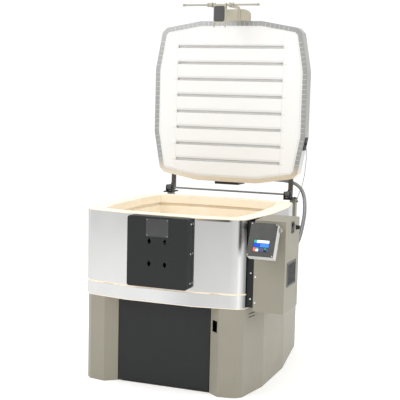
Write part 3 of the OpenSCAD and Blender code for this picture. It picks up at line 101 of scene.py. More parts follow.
# ---------------------------------------------------------------- materials
class Shader:
    """A principled material and short calls for the nodes that feed it."""

    def __init__(self, name, rough=0.5, metal=0.0):
        self.mat = bpy.data.materials.new(name)
        self.mat.use_nodes = True
        self.tree = self.mat.node_tree
        self.tree.nodes.clear()
        out = self.add("ShaderNodeOutputMaterial")
        self.bsdf = self.add("ShaderNodeBsdfPrincipled")
        self.link(self.bsdf.outputs[0], out.inputs[0])
        self.bsdf.inputs["Roughness"].default_value = rough
        self.bsdf.inputs["Metallic"].default_value = metal
        self.bsdf.inputs["Specular IOR Level"].default_value = 0.35
        self.coords = self.add("ShaderNodeTexCoord").outputs["Object"]

    def add(self, kind):
        return self.tree.nodes.new(kind)

    def link(self, a, b):
        self.tree.links.new(a, b)

    def stretched(self, scale):
        node = self.add("ShaderNodeMapping")
        node.inputs["Scale"].default_value = scale
        self.link(self.coords, node.inputs["Vector"])
        return node.outputs[0]

    def noise(self, scale, detail=3.0, rough=0.55, vector=None):
        node = self.add("ShaderNodeTexNoise")
        node.inputs["Scale"].default_value = scale
        node.inputs["Detail"].default_value = detail
        node.inputs["Roughness"].default_value = rough
        self.link(vector or self.coords, node.inputs["Vector"])
        return node.outputs[0]

    def cells(self, scale):
        node = self.add("ShaderNodeTexVoronoi")
        node.inputs["Scale"].default_value = scale
        self.link(self.coords, node.inputs["Vector"])
        return node.outputs[0]

    def ramp(self, value, stops):
        node = self.add("ShaderNodeValToRGB")
        while len(node.color_ramp.elements) < len(stops):
            node.color_ramp.elements.new(0.5)
        for item, (place, colour) in zip(node.color_ramp.elements, stops):
            item.position = place
            item.color = (*colour, 1) if isinstance(colour, tuple) else (colour, colour, colour, 1)
        self.link(value, node.inputs[0])
        return node.outputs[0]

    def facing(self):
        """0 to 1 round the kiln: 0.25 at the front, 0.5 at the right."""
        node = self.add("ShaderNodeTexGradient")
        node.gradient_type = "RADIAL"
        self.link(self.coords, node.inputs[0])
        return node.outputs[1]

    def axis(self, number, vector=None):
        split = self.add("ShaderNodeSeparateXYZ")
        self.link(vector or self.coords, split.inputs[0])
        return split.outputs[number]

    def span(self, value, low, high):
        """0 to 1 as a value goes from low to high."""
        node = self.add("ShaderNodeMapRange")
        self.link(value, node.inputs[0])
        node.inputs[1].default_value, node.inputs[2].default_value = low, high
        return node.outputs[0]

    def along(self, number, low, high):
        """0 to 1 between two places on an axis, in metres."""
        return self.span(self.axis(number), low, high)

    def repeat(self, number, first, pitch):
        """0 to 1 again and again along an axis, from a first place on."""
        value = self.axis(number)
        for operation, amount in (("SUBTRACT", first), ("DIVIDE", pitch), ("FRACT", 0.0)):
            node = self.add("ShaderNodeMath")
            node.operation = operation
            node.inputs[1].default_value = amount
            self.link(value, node.inputs[0])
            value = node.outputs[0]
        return value

    def faces_front(self):
        """1 where the surface faces the front, 0 on its sides."""
        normal = self.add("ShaderNodeTexCoord").outputs["Normal"]
        return self.span(self.axis(Y, normal), -0.5, -0.9)

    def mix(self, factor, a, b, mode="MIX"):
        node = self.add("ShaderNodeMix")
        node.data_type = "RGBA"
        node.blend_type = mode
        for i, value in ((0, factor), (6, a), (7, b)):
            socket = node.inputs[i]
            if isinstance(value, (float, int)):
                socket.default_value = (value, value, value, 1) if i else value
            elif isinstance(value, tuple):
                socket.default_value = (*value, 1)
            else:
                self.link(value, socket)
        return node.outputs[2]

    def times(self, *masks):
        """Tones or masks multiplied together."""
        product = masks[0]
        for mask in masks[1:]:
            product = self.mix(1.0, product, mask, "MULTIPLY")
        return product

    def colour(self, value):
        if isinstance(value, tuple):
            self.bsdf.inputs["Base Color"].default_value = (*value, 1)
        else:
            self.link(value, self.bsdf.inputs["Base Color"])

    def lit(self, colour, strength):
        """Light that the surface gives off."""
        self.bsdf.inputs["Emission Color"].default_value = (*colour, 1)
        self.bsdf.inputs["Emission Strength"].default_value = strength

    def roughness(self, value, low, high):
        node = self.add("ShaderNodeMapRange")
        self.link(value, node.inputs[0])
        node.inputs[3].default_value = low
        node.inputs[4].default_value = high
        self.link(node.outputs[0], self.bsdf.inputs["Roughness"])

    def bump(self, *layers):
        """Layers of (height, strength, distance in metres), one on the other."""
        normal = None
        for height, strength, distance in layers:
            node = self.add("ShaderNodeBump")
            node.inputs["Strength"].default_value = strength
            node.inputs["Distance"].default_value = distance
            self.link(height, node.inputs["Height"])
            if normal:
                self.link(normal, node.inputs["Normal"])
            normal = node.outputs[0]
        self.link(normal, self.bsdf.inputs["Normal"])


# Stops of a soft step between the two tones of a noise
SOFT = [(0.3, 0.0), (0.7, 1.0)]
# How a noise is stretched into the level lines of rolled sheet
ROLLED = (3.0, 3.0, 260.0)
# Numbers of the axes
X, Y, Z = 0, 1, 2


def scaled(colour, k):
    return tuple(min(1.0, c * k) for c in colour)


def paint(name, colour, rough=0.42, strength=0.12):
    """Powder coat: orange-peel grain, faint cloudiness and rubbed patches."""
    s = Shader(name, rough=rough)
    cloud = s.noise(5.0, 4.0)
    tone = s.mix(s.ramp(cloud, SOFT), scaled(colour, 0.955), scaled(colour, 1.03))
    speck = s.noise(420.0, 2.0)
    s.colour(s.mix(s.ramp(speck, [(0.62, 0.0), (0.72, 0.35)]), tone, scaled(colour, 0.86)))
    s.roughness(s.noise(28.0, 3.0), rough - 0.05, rough + 0.08)
    s.bump((s.noise(1100.0, 2.0), strength, 0.0003), (s.noise(14.0, 2.0), 0.05, 0.002))
    return s.mat


def steel(name, colour, rough=0.3, brush=(4.0, 4.0, 420.0), dirt=0.85):
    """Bare or plated metal with fine drawn lines and a slightly uneven sheen."""
    s = Shader(name, rough=rough, metal=1.0)
    lines = s.noise(1.0, 3.0, vector=s.stretched(brush))
    stain = s.noise(9.0, 4.0)
    s.colour(s.mix(s.ramp(stain, [(0.35, 0.0), (0.75, 1.0)]), scaled(colour, dirt), colour))
    s.roughness(lines, rough - 0.07, rough + 0.09)
    s.bump((lines, 0.06, 0.0002))
    return s.mat


def mirror_steel():
    """Bright rolled stainless sheet: soft waves, rolling lines, smudges, and painted shade and reflection in
    a strip under the rim.

    Its base colour is a painted reflection: it changes round the kiln, and between the upper and lower
    jacket, with the dark and light of the room that it mirrors.
    """
    s = Shader("stainless", rough=0.16, metal=1.0)
    lines = s.noise(1.0, 3.0, vector=s.stretched(ROLLED))
    smudge = s.noise(11.0, 5.0, 0.6)
    # Painted reflection: the room's light and dark streaks, one curve round the kiln for the upper jacket and
    # one for the lower
    upper_reflection_share = s.ramp(s.along(Z, 0.60, 0.80), [(0.25, 0.0), (0.5, 1.0)])
    painted_reflection = s.mix(upper_reflection_share, s.ramp(s.facing(), PAINTED_REFLECTION_LOW), s.ramp(s.facing(), PAINTED_REFLECTION_HIGH))
    tone = s.times(painted_reflection, s.mix(s.ramp(smudge, SOFT), 0.94, 1.0))
    # Painted shade and reflection: a strip under the rim, to the right of the front cover, from brown to
    # black
    high = s.ramp(s.along(Z, 0.80, 0.8231), [(0.0, 0.0), (0.40, 0.0), (0.46, 0.95), (1.0, 0.95)])
    wide = s.ramp(s.along(X, 0.16, 0.34), [(0.0, 0.0), (0.12, 1.0), (0.9, 1.0), (1.0, 0.0)])
    brown, grey, black = (0.46, 0.37, 0.25), (0.22, 0.20, 0.18), (0.05, 0.045, 0.04)
    painted_rim_shade = s.ramp(s.along(X, 0.17, 0.34), [(0.0, brown), (0.45, grey), (0.9, black)])
    tone = s.mix(s.times(high, wide), tone, painted_rim_shade)
    # A tan line where the floor band and the jacket meet
    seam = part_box("wall_jacket")[0].z
    strip = s.ramp(s.along(Z, seam - 0.005, seam + 0.005), [(0.2, 0.0), (0.35, 0.5), (0.65, 0.5), (0.8, 0.0)])
    s.colour(s.mix(strip, tone, (0.80, 0.66, 0.45)))
    s.roughness(smudge, 0.10, 0.26)
    s.bump((lines, 0.03, 0.0002), (s.noise(3.2, 1.0), 0.35, 0.004))
    return s.mat


def flange_steel():
    """The lid's folded flange: duller sheet, with painted shade on the faces that look to the front, and
    paler and warmer towards its lower edge.
    """
    s = Shader("lid_flange", rough=0.34, metal=1.0)
    lines = s.noise(1.0, 3.0, vector=s.stretched(ROLLED))
    # Paler and warmer towards the flange's lower edge
    paler_lower_edge = s.ramp(s.along(Z, 0.88, 1.02), [(0.0, 1.0), (0.45, 0.95), (1.0, 0.0)])
    # Painted shade: faces that look to the front are darker than the sides
    sheet = s.mix(s.faces_front(), (0.66, 0.66, 0.65), (0.40, 0.40, 0.395))
    s.colour(s.mix(paler_lower_edge, sheet, (0.82, 0.73, 0.59)))
    s.roughness(s.noise(11.0, 5.0, 0.6), 0.28, 0.42)
    s.bump((lines, 0.05, 0.0002))
    return s.mat


def brick(name, light, dark, spot):
    """Insulating firebrick: chalky, pitted, mottled, each brick a little different."""
    s = Shader(name, rough=0.93)
    island = s.add("ShaderNodeNewGeometry").outputs["Random Per Island"]
    base = s.mix(island, light, dark)
    blotch = s.noise(16.0, 5.0, 0.6)
    base = s.mix(s.ramp(blotch, [(0.35, 0.0), (0.72, 0.55)]), base, scaled(dark, 0.93))
    freckle = s.cells(190.0)
    base = s.mix(s.ramp(freckle, [(0.05, 0.5), (0.16, 0.0)]), base, spot)
    s.colour(base)
    pits = s.ramp(s.cells(240.0), [(0.0, 0.0), (0.28, 1.0)])
    s.bump((s.noise(60.0, 6.0, 0.65), 0.35, 0.0012), (pits, 0.5, 0.0009),
           (s.noise(700.0, 2.0), 0.3, 0.0003))
    return s.mat


def board(name, colour, warm):
    """Pressed ceramic fibre: near white, fibrous tooth, faint stains, and painted shade on the groove wall
    above each coil.
    """
    s = Shader(name, rough=0.95)
    stain = s.noise(3.5, 4.0, 0.6)
    tone = s.mix(s.ramp(stain, [(0.4, 0.0), (0.8, 0.7)]), colour, warm)
    fleck = s.noise(300.0, 3.0)
    tone = s.mix(s.ramp(fleck, [(0.6, 0.0), (0.75, 0.3)]), tone, scaled(warm, 0.9))
    # Painted shade: the board darkened just above each row of coil, where the groove wall lies in shade
    painted_groove_shade = s.ramp(s.repeat(Z, ROW_FOOT, ROW_PITCH),
                 [(0.0, 0.8), (0.13, 0.7), (0.24, 0.55), (0.27, 1.0), (0.30, 0.0)])
    wide = s.ramp(s.along(X, -0.32, 0.32), [(0.0, 0.0), (0.03, 0.0), (0.04, 1.0), (0.96, 1.0), (0.97, 0.0)])
    tall = s.ramp(s.along(Z, 1.0, 1.7), [(0.010, 0.0), (0.012, 1.0), (0.91, 1.0), (0.92, 0.0)])
    s.colour(s.mix(s.times(painted_groove_shade, wide, tall), tone, scaled(colour, 0.80)))
    s.bump((s.noise(420.0, 4.0, 0.7), 0.4, 0.0006), (s.noise(40.0, 3.0), 0.15, 0.001))
    return s.mat


def wire(name, dark, light):
    """Resistance wire under a pale oxide, with darker patches, lifted to the photograph's exposure by a faint
    painted glow.
    """
    s = Shader(name, rough=0.6, metal=0.15)
    s.colour(s.mix(s.ramp(s.noise(30.0, 3.0), [(0.35, 0.0), (0.65, 1.0)]), dark, light))
    # Painted glow: a faint light of the wire's own that lifts it out of the shade of its groove
    s.lit(light, 0.18)
    s.bump((s.noise(900.0, 2.0), 0.3, 0.0002))
    return s.mat


def porcelain(name, colour):
    s = Shader(name, rough=0.35)
    s.colour(s.mix(s.ramp(s.noise(60.0, 3.0), [(0.4, 0.0), (0.7, 1.0)]), colour, scaled(colour, 0.93)))
    s.bump((s.noise(500.0, 2.0), 0.08, 0.0002))
    return s.mat


def plastic(name, colour, rough=0.38, strength=0.1):
    s = Shader(name, rough=rough)
    s.colour(s.mix(s.ramp(s.noise(40.0, 3.0), SOFT), scaled(colour, 0.9), scaled(colour, 1.15)))
    s.roughness(s.noise(90.0, 3.0), rough - 0.05, rough + 0.07)
    s.bump((s.noise(900.0, 2.0), strength, 0.0002))
    return s.mat


def glow(name, colour, power):
    """A lit patch of the display under its cover glass."""
    s = Shader(name, rough=0.15)
    s.colour(scaled(colour, 0.3))
    s.lit(colour, power)
    s.bump((s.noise(700.0, 1.0), 0.02, 0.0001))
    return s.mat


TAUPE = (0.276, 0.2576, 0.205)
CHARCOAL = (0.0105, 0.0118, 0.0116)
# With the lid open: the lower edge of its lowest row of coil, and the rows' spacing, in metres
ROW_FOOT, ROW_PITCH = 1.0084, 0.0869
# Painted reflection: tone of the mirrored room round the kiln, given as (place from 0 to 1, share of the
# light)
PAINTED_REFLECTION_HIGH = [(0.0, 0.50), (0.12, 0.53), (0.13, 0.58), (0.25, 0.59), (0.305, 0.48), (0.36, 0.51),
             (0.368, 0.58), (0.3692, 0.66), (0.3698, 0.15), (0.3725, 0.15), (0.3735, 0.58),
             (0.3750, 0.56), (0.3765, 0.20), (0.3808, 0.10), (0.40, 0.12), (0.44, 0.42), (1.0, 0.50)]
PAINTED_REFLECTION_LOW = [(0.0, 0.50), (0.12, 0.53), (0.13, 0.58), (0.25, 0.59), (0.305, 0.47), (0.36, 0.51),
            (0.368, 0.58), (0.3705, 0.66), (0.3745, 0.62), (0.3755, 0.30), (0.3808, 0.17),
            (0.40, 0.15), (0.44, 0.42), (1.0, 0.50)]
MATS = {
    "stand_paint": paint("stand_paint", TAUPE),
    "door_paint": paint("door_paint", CHARCOAL, rough=0.5, strength=0.2),
    "charcoal_paint": paint("charcoal_paint", scaled(CHARCOAL, 0.92), rough=0.48, strength=0.2),
    "plated_steel": steel("plated_steel", (0.62, 0.62, 0.61), rough=0.32),
    "stainless": mirror_steel(),
    "firebrick": brick("firebrick", (0.95, 0.87, 0.73), (0.93, 0.83, 0.67), (0.78, 0.60, 0.40)),
    "lid_board": board("lid_board", (0.785, 0.785, 0.780), (0.780, 0.770, 0.745)),
    "element_wire": wire("element_wire", (0.86, 0.76, 0.60), (0.93, 0.85, 0.70)),
    "lid_wire": wire("lid_wire", (0.84, 0.82, 0.76), (0.93, 0.92, 0.89)),
    "lid_flange": flange_steel(),
    "handle_paint": paint("handle_paint", scaled(TAUPE, 1.6)),
    "knob_grey": paint("knob_grey", (0.40, 0.40, 0.39), rough=0.36),
    "lid_sheet": steel("lid_sheet", (0.60, 0.60, 0.595), rough=0.3, brush=ROLLED),
    "arm_grey": paint("arm_grey", (0.085, 0.081, 0.072)),
    "screw_bright": steel("screw_bright", (0.95, 0.95, 0.94), rough=0.5),
    "rod_steel": steel("rod_steel", (0.20, 0.20, 0.20), rough=0.36),
    "stay_steel": steel("stay_steel", (0.30, 0.30, 0.30), rough=0.4),
    "porcelain": porcelain("porcelain", (0.86, 0.84, 0.79)),
    "plate_black": steel("plate_black", (0.10, 0.10, 0.102), rough=0.42, dirt=0.8),
    "grille_black": paint("grille_black", (0.10, 0.10, 0.102), rough=0.5),
    "switch_black": plastic("switch_black", (0.018, 0.018, 0.02)),
    "head_grey": paint("head_grey", (0.56, 0.555, 0.53), rough=0.38),
    "face_black": plastic("face_black", (0.062, 0.063, 0.060), rough=0.32),
    "screen": plastic("screen", (0.01, 0.02, 0.05), rough=0.12, strength=0.01),
    "bar_paint": paint("bar_paint", (0.36, 0.345, 0.30), rough=0.36),
    "conduit_grey": steel("conduit_grey", (0.33, 0.335, 0.34), rough=0.38, brush=(60.0, 60.0, 60.0)),
}
# Nodes that look different from the rest of their slot
OWN = {
    "lid_band": "lid_flange", "lid_top_panel": "lid_sheet", "lid_arms": "arm_grey", "hinge_rod": "rod_steel",
    "handle_base": "handle_paint", "handle_arms": "handle_paint", "hanging_channel": "handle_paint",
    "thumb_screws": "knob_grey",
}
for part in frame["record"]["subparts"]:
    node_object = frame["nodes"][part["node"]]
    node_object.data.materials.clear()
    node_object.data.materials.append(MATS[OWN.get(part["node"], part["material_slot"])])


# ---------------------------------------------------------------- mesh helpers
# Sizes in millimetres, as the part's source has them
MM = 0.001
RIM_Z = 823.1
COVER_X, COVER_HALF, COVER_MID_Z = 9, 149, 657.6
BOX_X, BOX_W, BOX_FRONT, BOX_TOP, BOX_BOTTOM, BOX_H = 436.9, 143.5, -374.7, 824.4, 408.9, 415.5
HALF, FLAT, SIDE, CUT = 434.3, 343.0, math.radians(10.1), 39.5
HINGE = Vector((0, 479.3, 852.3))
LID_TURN = math.radians(90.6)
OPEN = Matrix.Translation(HINGE) @ Matrix.Rotation(-LID_TURN, 4, "X") @ Matrix.Translation(-HINGE)


def opened(x, y, z):
    return OPEN @ Vector((x, y, z))


def plan(inset):
    """The kiln's outline, anticlockwise from the right side, as the part's source draws it."""
    turn = SIDE
    r = HALF - inset
    m = FLAT / 2 - inset * math.tan(turn / 2)
    cut = max(0, CUT - 2 * inset * math.tan((math.pi / 4 - turn) / 2))
    reach = (r - m) / (math.sin(turn) + math.cos(turn)) - cut / 2 / math.cos(math.pi / 4 - turn)
    far, near = r - reach * math.sin(turn), m + reach * math.cos(turn)
    quarter = [(r, m), (far, near), (near, far), (m, r)] if cut > 0.5 else [(r, m), (far, far), (m, r)]
    points = []
    for _ in range(4):
        points += quarter
        quarter = [(-y, x) for x, y in quarter]
    return points


def piece(name, bm, mat, body, replaces=(), smooth=False, bevel=0.0, matrix=None):
    """A finished mesh in millimetres becomes a named object in metres, riding on a body."""
    if matrix:
        bmesh.ops.transform(bm, matrix=matrix, verts=bm.verts)
    bmesh.ops.scale(bm, vec=(MM, MM, MM), verts=bm.verts)
    mesh = bpy.data.meshes.new(name)
    bm.to_mesh(mesh)
    bm.free()
    obj = bpy.data.objects.new(name, mesh)
    bpy.context.scene.collection.objects.link(obj)
    mesh.materials.append(MATS[mat])
    if smooth:
        mesh.shade_smooth()
    if bevel:
        mod = obj.modifiers.new("edges", "BEVEL")
        mod.width = bevel * MM
        mod.segments = 2
        mod.limit_method = "ANGLE"
    if body:
        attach(obj, body)
    if replaces:
        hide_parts(*replaces)
    return obj


def tube(bm, path, radii, sides):
    rings, side, last = [], None, len(path) - 1
    for i, p in enumerate(path):
        ahead = (path[min(i + 1, last)] - path[max(i - 1, 0)]).normalized()
        side = ahead.orthogonal() if side is None else side
        side = (side - side.dot(ahead) * ahead).normalized()
        other = ahead.cross(side)
        r = radii[i] if isinstance(radii, list) else radii
        turns = [math.tau * k / sides for k in range(sides)]
        rings.append([bm.verts.new(p + r * (math.cos(a) * side + math.sin(a) * other)) for a in turns])
    for a, b in zip(rings, rings[1:]):
        for k in range(sides):
            q = (k + 1) % sides
            bm.faces.new((a[k], a[q], b[q], b[k]))
    bm.faces.new(rings[0][::-1])
    bm.faces.new(rings[-1])


def resample(route, step):
    """Points at an even distance along a line of straight stretches."""
    lengths = [(b - a).length for a, b in zip(route, route[1:])]
    count = max(2, round(sum(lengths) / step))
    out, k, passed = [], 0, 0.0
    for i in range(count + 1):
        s = sum(lengths) * i / count
        while k < len(lengths) - 1 and s > passed + lengths[k]:
            passed += lengths[k]
            k += 1
        out.append(route[k].lerp(route[k + 1], min(1.0, (s - passed) / lengths[k])))
    return out


def coil(bm, route, radius, wire, pitch, per_turn, sides, up):
    """A close-wound spring of round wire along a route that stays square to up."""
    points = resample(route, pitch / per_turn)
    spiral = []
    for i, p in enumerate(points):
        ahead = (points[min(i + 1, len(points) - 1)] - points[max(i - 1, 0)]).normalized()
        a = math.tau * i / per_turn
        spiral.append(p + radius * (math.cos(a) * up + math.sin(a) * up.cross(ahead)))
    tube(bm, spiral, wire, sides)


def hose_curve(points, steps):
    """Smooth through its points, with the first and last stretches straight."""
    out = [points[0]]
    for i in range(1, len(points) - 2):
        a, b, c, d = points[i - 1:i + 3]
        for k in range(steps):
            t = k / steps
            out.append(0.5 * (2 * b + (c - a) * t + (2 * a - 5 * b + 4 * c - d) * t * t
                              + (3 * b - a - 3 * c + d) * t ** 3))
    return out + points[-2:]


# ---------------------------------------------------------------- heating coils
COIL_R, WIRE_R, PER_TURN = 4.25, 0.75, 10
UP = Vector((0, 0, 1))


def make_coils():
    bm = bmesh.new()
    inset = 68.2
    corners = plan(inset)
    ring = corners[len(corners) * 3 // 4:] + corners[:len(corners) * 3 // 4]
    front = inset - HALF
    for z in (773.8, 694.8, 615.8, 536.8):
        route = [Vector((COVER_X + 30, front, z))] + [Vector((x, y, z)) for x, y in ring]
        route.append(Vector((COVER_X - 30, front, z)))
        coil(bm, route, COIL_R, WIRE_R, 9.0, PER_TURN, 4, UP)
    piece("wall_coils", bm, "element_wire", "kiln", ("side_elements",), smooth=True)
    bm = bmesh.new()
    rows, reach = 8, 293
    for i in range(rows):
        y = 14.3 + (i - (rows - 1) / 2) * ROW_PITCH / MM
        route = [Vector((-reach, y, 831.4)), Vector((reach, y, 831.4))]
        coil(bm, route, COIL_R, WIRE_R, 8.5, PER_TURN, 5, UP)
    piece("lid_coils", bm, "lid_wire", "lid", ("lid_elements",), smooth=True,
          matrix=OPEN)


# ---------------------------------------------------------------- conduit and stay
def by_hinge(a, b, c):
    """A point near the lid's back corner, counted in hundredths of the kiln's width."""
    return Vector((HALF, HINGE.y, RIM_Z)) + Vector((a, b, c)) * 2 * HALF / 100


def make_conduit():
    start = opened(67, HALF - 18.5, 921.9)
    end = Vector((BOX_X + 0.67 * BOX_W, -152.7, BOX_TOP - 0.42 * BOX_H))
    knots = [start + Vector((20, 0, 0)), start + Vector((40, 0, 0))]
    knots += [by_hinge(*p) for p in ((-26.97, 8.14, 11.16), (-15.46, 8.25, 10.93), (-9.475, 8.14, 9.77),
              (-4.87, 7.33, 6.78), (-2.107, 5.49, 2.176), (-0.38, 1.577, -2.66), (1.347, -4.87, -7.03),
              (3.65, -16.04, -10.95), (6.41, -29.85, -14.17), (8.945, -43.67, -16.47),
              (10.557, -55.18, -18.09))]
    knots += [end + Vector((-1, 60, 6.67)), end + Vector((0, 40, 0)), end + Vector((0, 20, 0))]
    # Five rings to each rib: a flat crest, a rounded shoulder and a narrow valley
    rib, plain, rib_pitch, plain_rings = (9.5, 9.5, 9.2, 8.7, 9.2), 8.7, 4.25, 22
    line = resample(hose_curve(knots, 12), rib_pitch / len(rib))
    radii = [rib[i % len(rib)] if plain_rings <= i < len(line) - plain_rings else plain
             for i in range(len(line))]
    bm = bmesh.new()
    tube(bm, line, radii, 20)
    obj = piece("conduit_hose", bm, "conduit_grey", None, ("lid_conduit",), smooth=True)
    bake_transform(obj)


def make_stay():
    boss = opened(421.9 + 5.5 * math.cos(SIDE), 208 + 5.5 * math.sin(SIDE), 864.4)
    first = boss - Vector((0, 0, 6 / math.cos(SIDE) + 1.6 * math.tan(SIDE) + 0.05))
    last = Vector((376.5, 537.5, 815.5))
    knots = [first, first - Vector((0, 0, 12))]
    knots += [by_hinge(*p) for p in ((-0.38, 1.46, 27.27), (-0.84, 1.58, 20.37), (-1.65, 2.15, 14.03),
                                     (-3.37, 3.77, 8.05), (-5.33, 5.84, 4.02))]
    knots += [last + Vector((0, 0, 10)), last]
    line = resample(hose_curve(knots, 10), 1.5)
    bm = bmesh.new()
    # Seven strands: one straight core and six laid round it
    tube(bm, line, 0.55, 8)
    for strand in range(6):
        path = []
        for i, p in enumerate(line):
            ahead = (line[min(i + 1, len(line) - 1)] - line[max(i - 1, 0)]).normalized()
            side = ahead.cross(Vector((0, 1, 0))).normalized()
            other = ahead.cross(side)
            a = math.tau * (strand / 6 + i / 9)
            path.append(p + 1.05 * (math.cos(a) * side + math.sin(a) * other))
        tube(bm, path, 0.55, 6)
    for a, b in ((0, 10), (len(line) - 11, len(line) - 1)):
        tube(bm, line[a:b + 1], 1.6, 12)
    obj = piece("stay_rope", bm, "stay_steel", None, ("stay_cable",), smooth=True)
    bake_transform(obj)


# ---------------------------------------------------------------- control head
HEAD = Matrix.Translation((499.6, -431.7, 822.3)) @ Matrix.Rotation(math.radians(-26), 4, "X")


def block(bm, lo, hi):
    """A box between two corners."""
    made = bmesh.ops.create_cube(bm, size=1)["verts"]
    lo, hi = Vector(lo), Vector(hi)
    bmesh.ops.scale(bm, vec=hi - lo, verts=made)
    bmesh.ops.translate(bm, vec=(lo + hi) / 2, verts=made)


def make_screen():
    """Plain blocks of light in place of whatever the display shows, under a sheet of cover glass."""
    rows = {
        "ui_teal": (0.02, 0.42, 0.30, 1.1, ((-34.5, 13.5, -22.5, 26.0),)),
        "ui_white": (0.86, 0.93, 0.95, 1.1, ((-21.5, 13.5, 34.5, 26.0), (-22.5, -25.5, -10.5, -14.0))),
        "ui_blue": (0.01, 0.06, 0.62, 1.2, ((-34.5, -5.5, -6.0, 12.0),)),
        "ui_sky": (0.05, 0.22, 0.75, 1.1, ((-5.0, -5.5, 34.5, 12.0),)),
        "ui_red": (0.75, 0.18, 0.16, 1.0, ((-34.5, -25.5, -24.0, -8.0),)),
        "ui_green": (0.03, 0.33, 0.13, 1.0, ((-22.5, -13.0, -10.5, -7.0), (16.0, -17.0, 25.0, -8.0))),
        "ui_dim": (0.10, 0.10, 0.24, 0.8, ((-9.0, -25.5, 14.0, -8.0), (27.0, -25.5, 34.5, -8.0))),
    }
    for name, (r, g, b, power, boxes) in rows.items():
        MATS[name] = glow(name, (r, g, b), power)
        bm = bmesh.new()
        for x0, z0, x1, z1 in boxes:
            block(bm, (x0, 0.45, -105.5 + z0), (x1, 0.59, -105.5 + z1))
        piece("screen_" + name, bm, name, "head", matrix=HEAD)
    # Raised lip round the display's window
    bm = bmesh.new()
    for x0, x1, z0, z1 in ((-37.4, -35.9, -29.0, 29.0), (35.9, 37.4, -29.0, 29.0),
                           (-37.4, 37.4, 27.4, 29.0), (-37.4, 37.4, -29.0, -27.4)):
        block(bm, (x0, -0.35, -105.5 + z0), (x1, 0.02, -105.5 + z1))
    piece("screen_lip", bm, "face_black", "head", matrix=HEAD, bevel=0.15)


# ---------------------------------------------------------------- small fasteners
def screw_head(radius, height):
    """A pan-head screw with a cross recess, its axis on Z and its seat at z = 0."""
    bm = bmesh.new()
    steps, rings = 20, []
    for r, z in ((radius, 0), (radius, height * 0.35), (radius * 0.93, height * 0.7),
                 (radius * 0.72, height * 0.93), (radius * 0.45, height)):
        turns = [math.tau * k / steps for k in range(steps)]
        rings.append([bm.verts.new((r * math.cos(a), r * math.sin(a), z)) for a in turns])
    for a, b in zip(rings, rings[1:]):
        for k in range(steps):
            bm.faces.new((a[k], a[(k + 1) % steps], b[(k + 1) % steps], b[k]))
    bm.faces.new(rings[0][::-1])
    # The recess: a cross sunk into the flat top, with sloping walls
    arm, wide, deep = radius * 0.42, radius * 0.11, height * 0.6
    cross = [(arm, -wide), (arm, wide), (wide, wide), (wide, arm), (-wide, arm), (-wide, wide),
             (-arm, wide), (-arm, -wide), (-wide, -wide), (-wide, -arm), (wide, -arm), (wide, -wide)]
    top = [bm.verts.new((x, y, height)) for x, y in cross]
    low = [bm.verts.new((x * 0.6, y * 0.6, height - deep)) for x, y in cross]
    edges = []
    for loop in (rings[-1], top):
        for a, b in zip(loop, loop[1:] + loop[:1]):
            edges.append(bm.edges.get((a, b)) or bm.edges.new((a, b)))
    bmesh.ops.triangle_fill(bm, edges=edges, use_beauty=True)
    for k in range(12):
        bm.faces.new((top[k], top[(k + 1) % 12], low[(k + 1) % 12], low[k]))
    bm.faces.new(low)
    bmesh.ops.recalc_face_normals(bm, faces=bm.faces)
    mesh = bpy.data.meshes.new("screw_head")
    bm.to_mesh(mesh)
    bm.free()
    return mesh


def screws(name, mat, body, replaces, radius, height, places, matrix=None):
    """Copies of one head at (x, y, z, outward direction), each turned a little differently."""
    head = screw_head(radius, height)
    bm = bmesh.new()
    for x, y, z, out in places:
        before = set(bm.verts)
        bm.from_mesh(head)
        turn = Vector(out).to_track_quat("Z", "Y").to_matrix().to_4x4()
        spin = Matrix.Rotation(random.uniform(0, math.pi / 2), 4, "Z")
        bmesh.ops.transform(bm, matrix=Matrix.Translation((x, y, z)) @ turn @ spin,
                            verts=[v for v in bm.verts if v not in before])
    bpy.data.meshes.remove(head)
    return piece(name, bm, mat, body, replaces, matrix=matrix)


def make_screws():
    cover = [(COVER_X + s * COVER_HALF, -446.3, COVER_MID_Z + i * 135.5, (s, 0, 0))
             for s in (-1, 1) for i in (-1, 0, 1)]
    screws("cover_side_screws", "screw_bright", "kiln", ("cover_screws",), 4, 2.2, cover)
    ear = [(BOX_X + 8, BOX_FRONT, BOX_BOTTOM + k * BOX_H, (0, -1, 0)) for k in (0.096, 0.38, 0.783)]
    slant = HALF - (360 - FLAT / 2) * math.tan(SIDE)
    ear += [((slant + BOX_X) / 2, -360, 421.5 + k * 395.6, (0, -1, 0)) for k in (0.1, 0.4, 0.9)]
    screws("box_ear_screws", "screw_bright", "kiln", ("box_screws",), 3.8, 2.1, ear)
    face = [(x, 0, z, (0, -1, 0)) for x in (-56, 56) for z in (-5, -149)]
    screws("face_corner_screws", "plated_steel", "head", ("face_screws",), 3, 1.3, face, matrix=HEAD)
    grille = [(582.4, -268.7 + y, 579.3 + z, (1, 0, 0)) for y in (-65, 65) for z in (-50, 50)]
    screws("grille_screws", "grille_black", "kiln", (), 2.4, 1.2, grille)


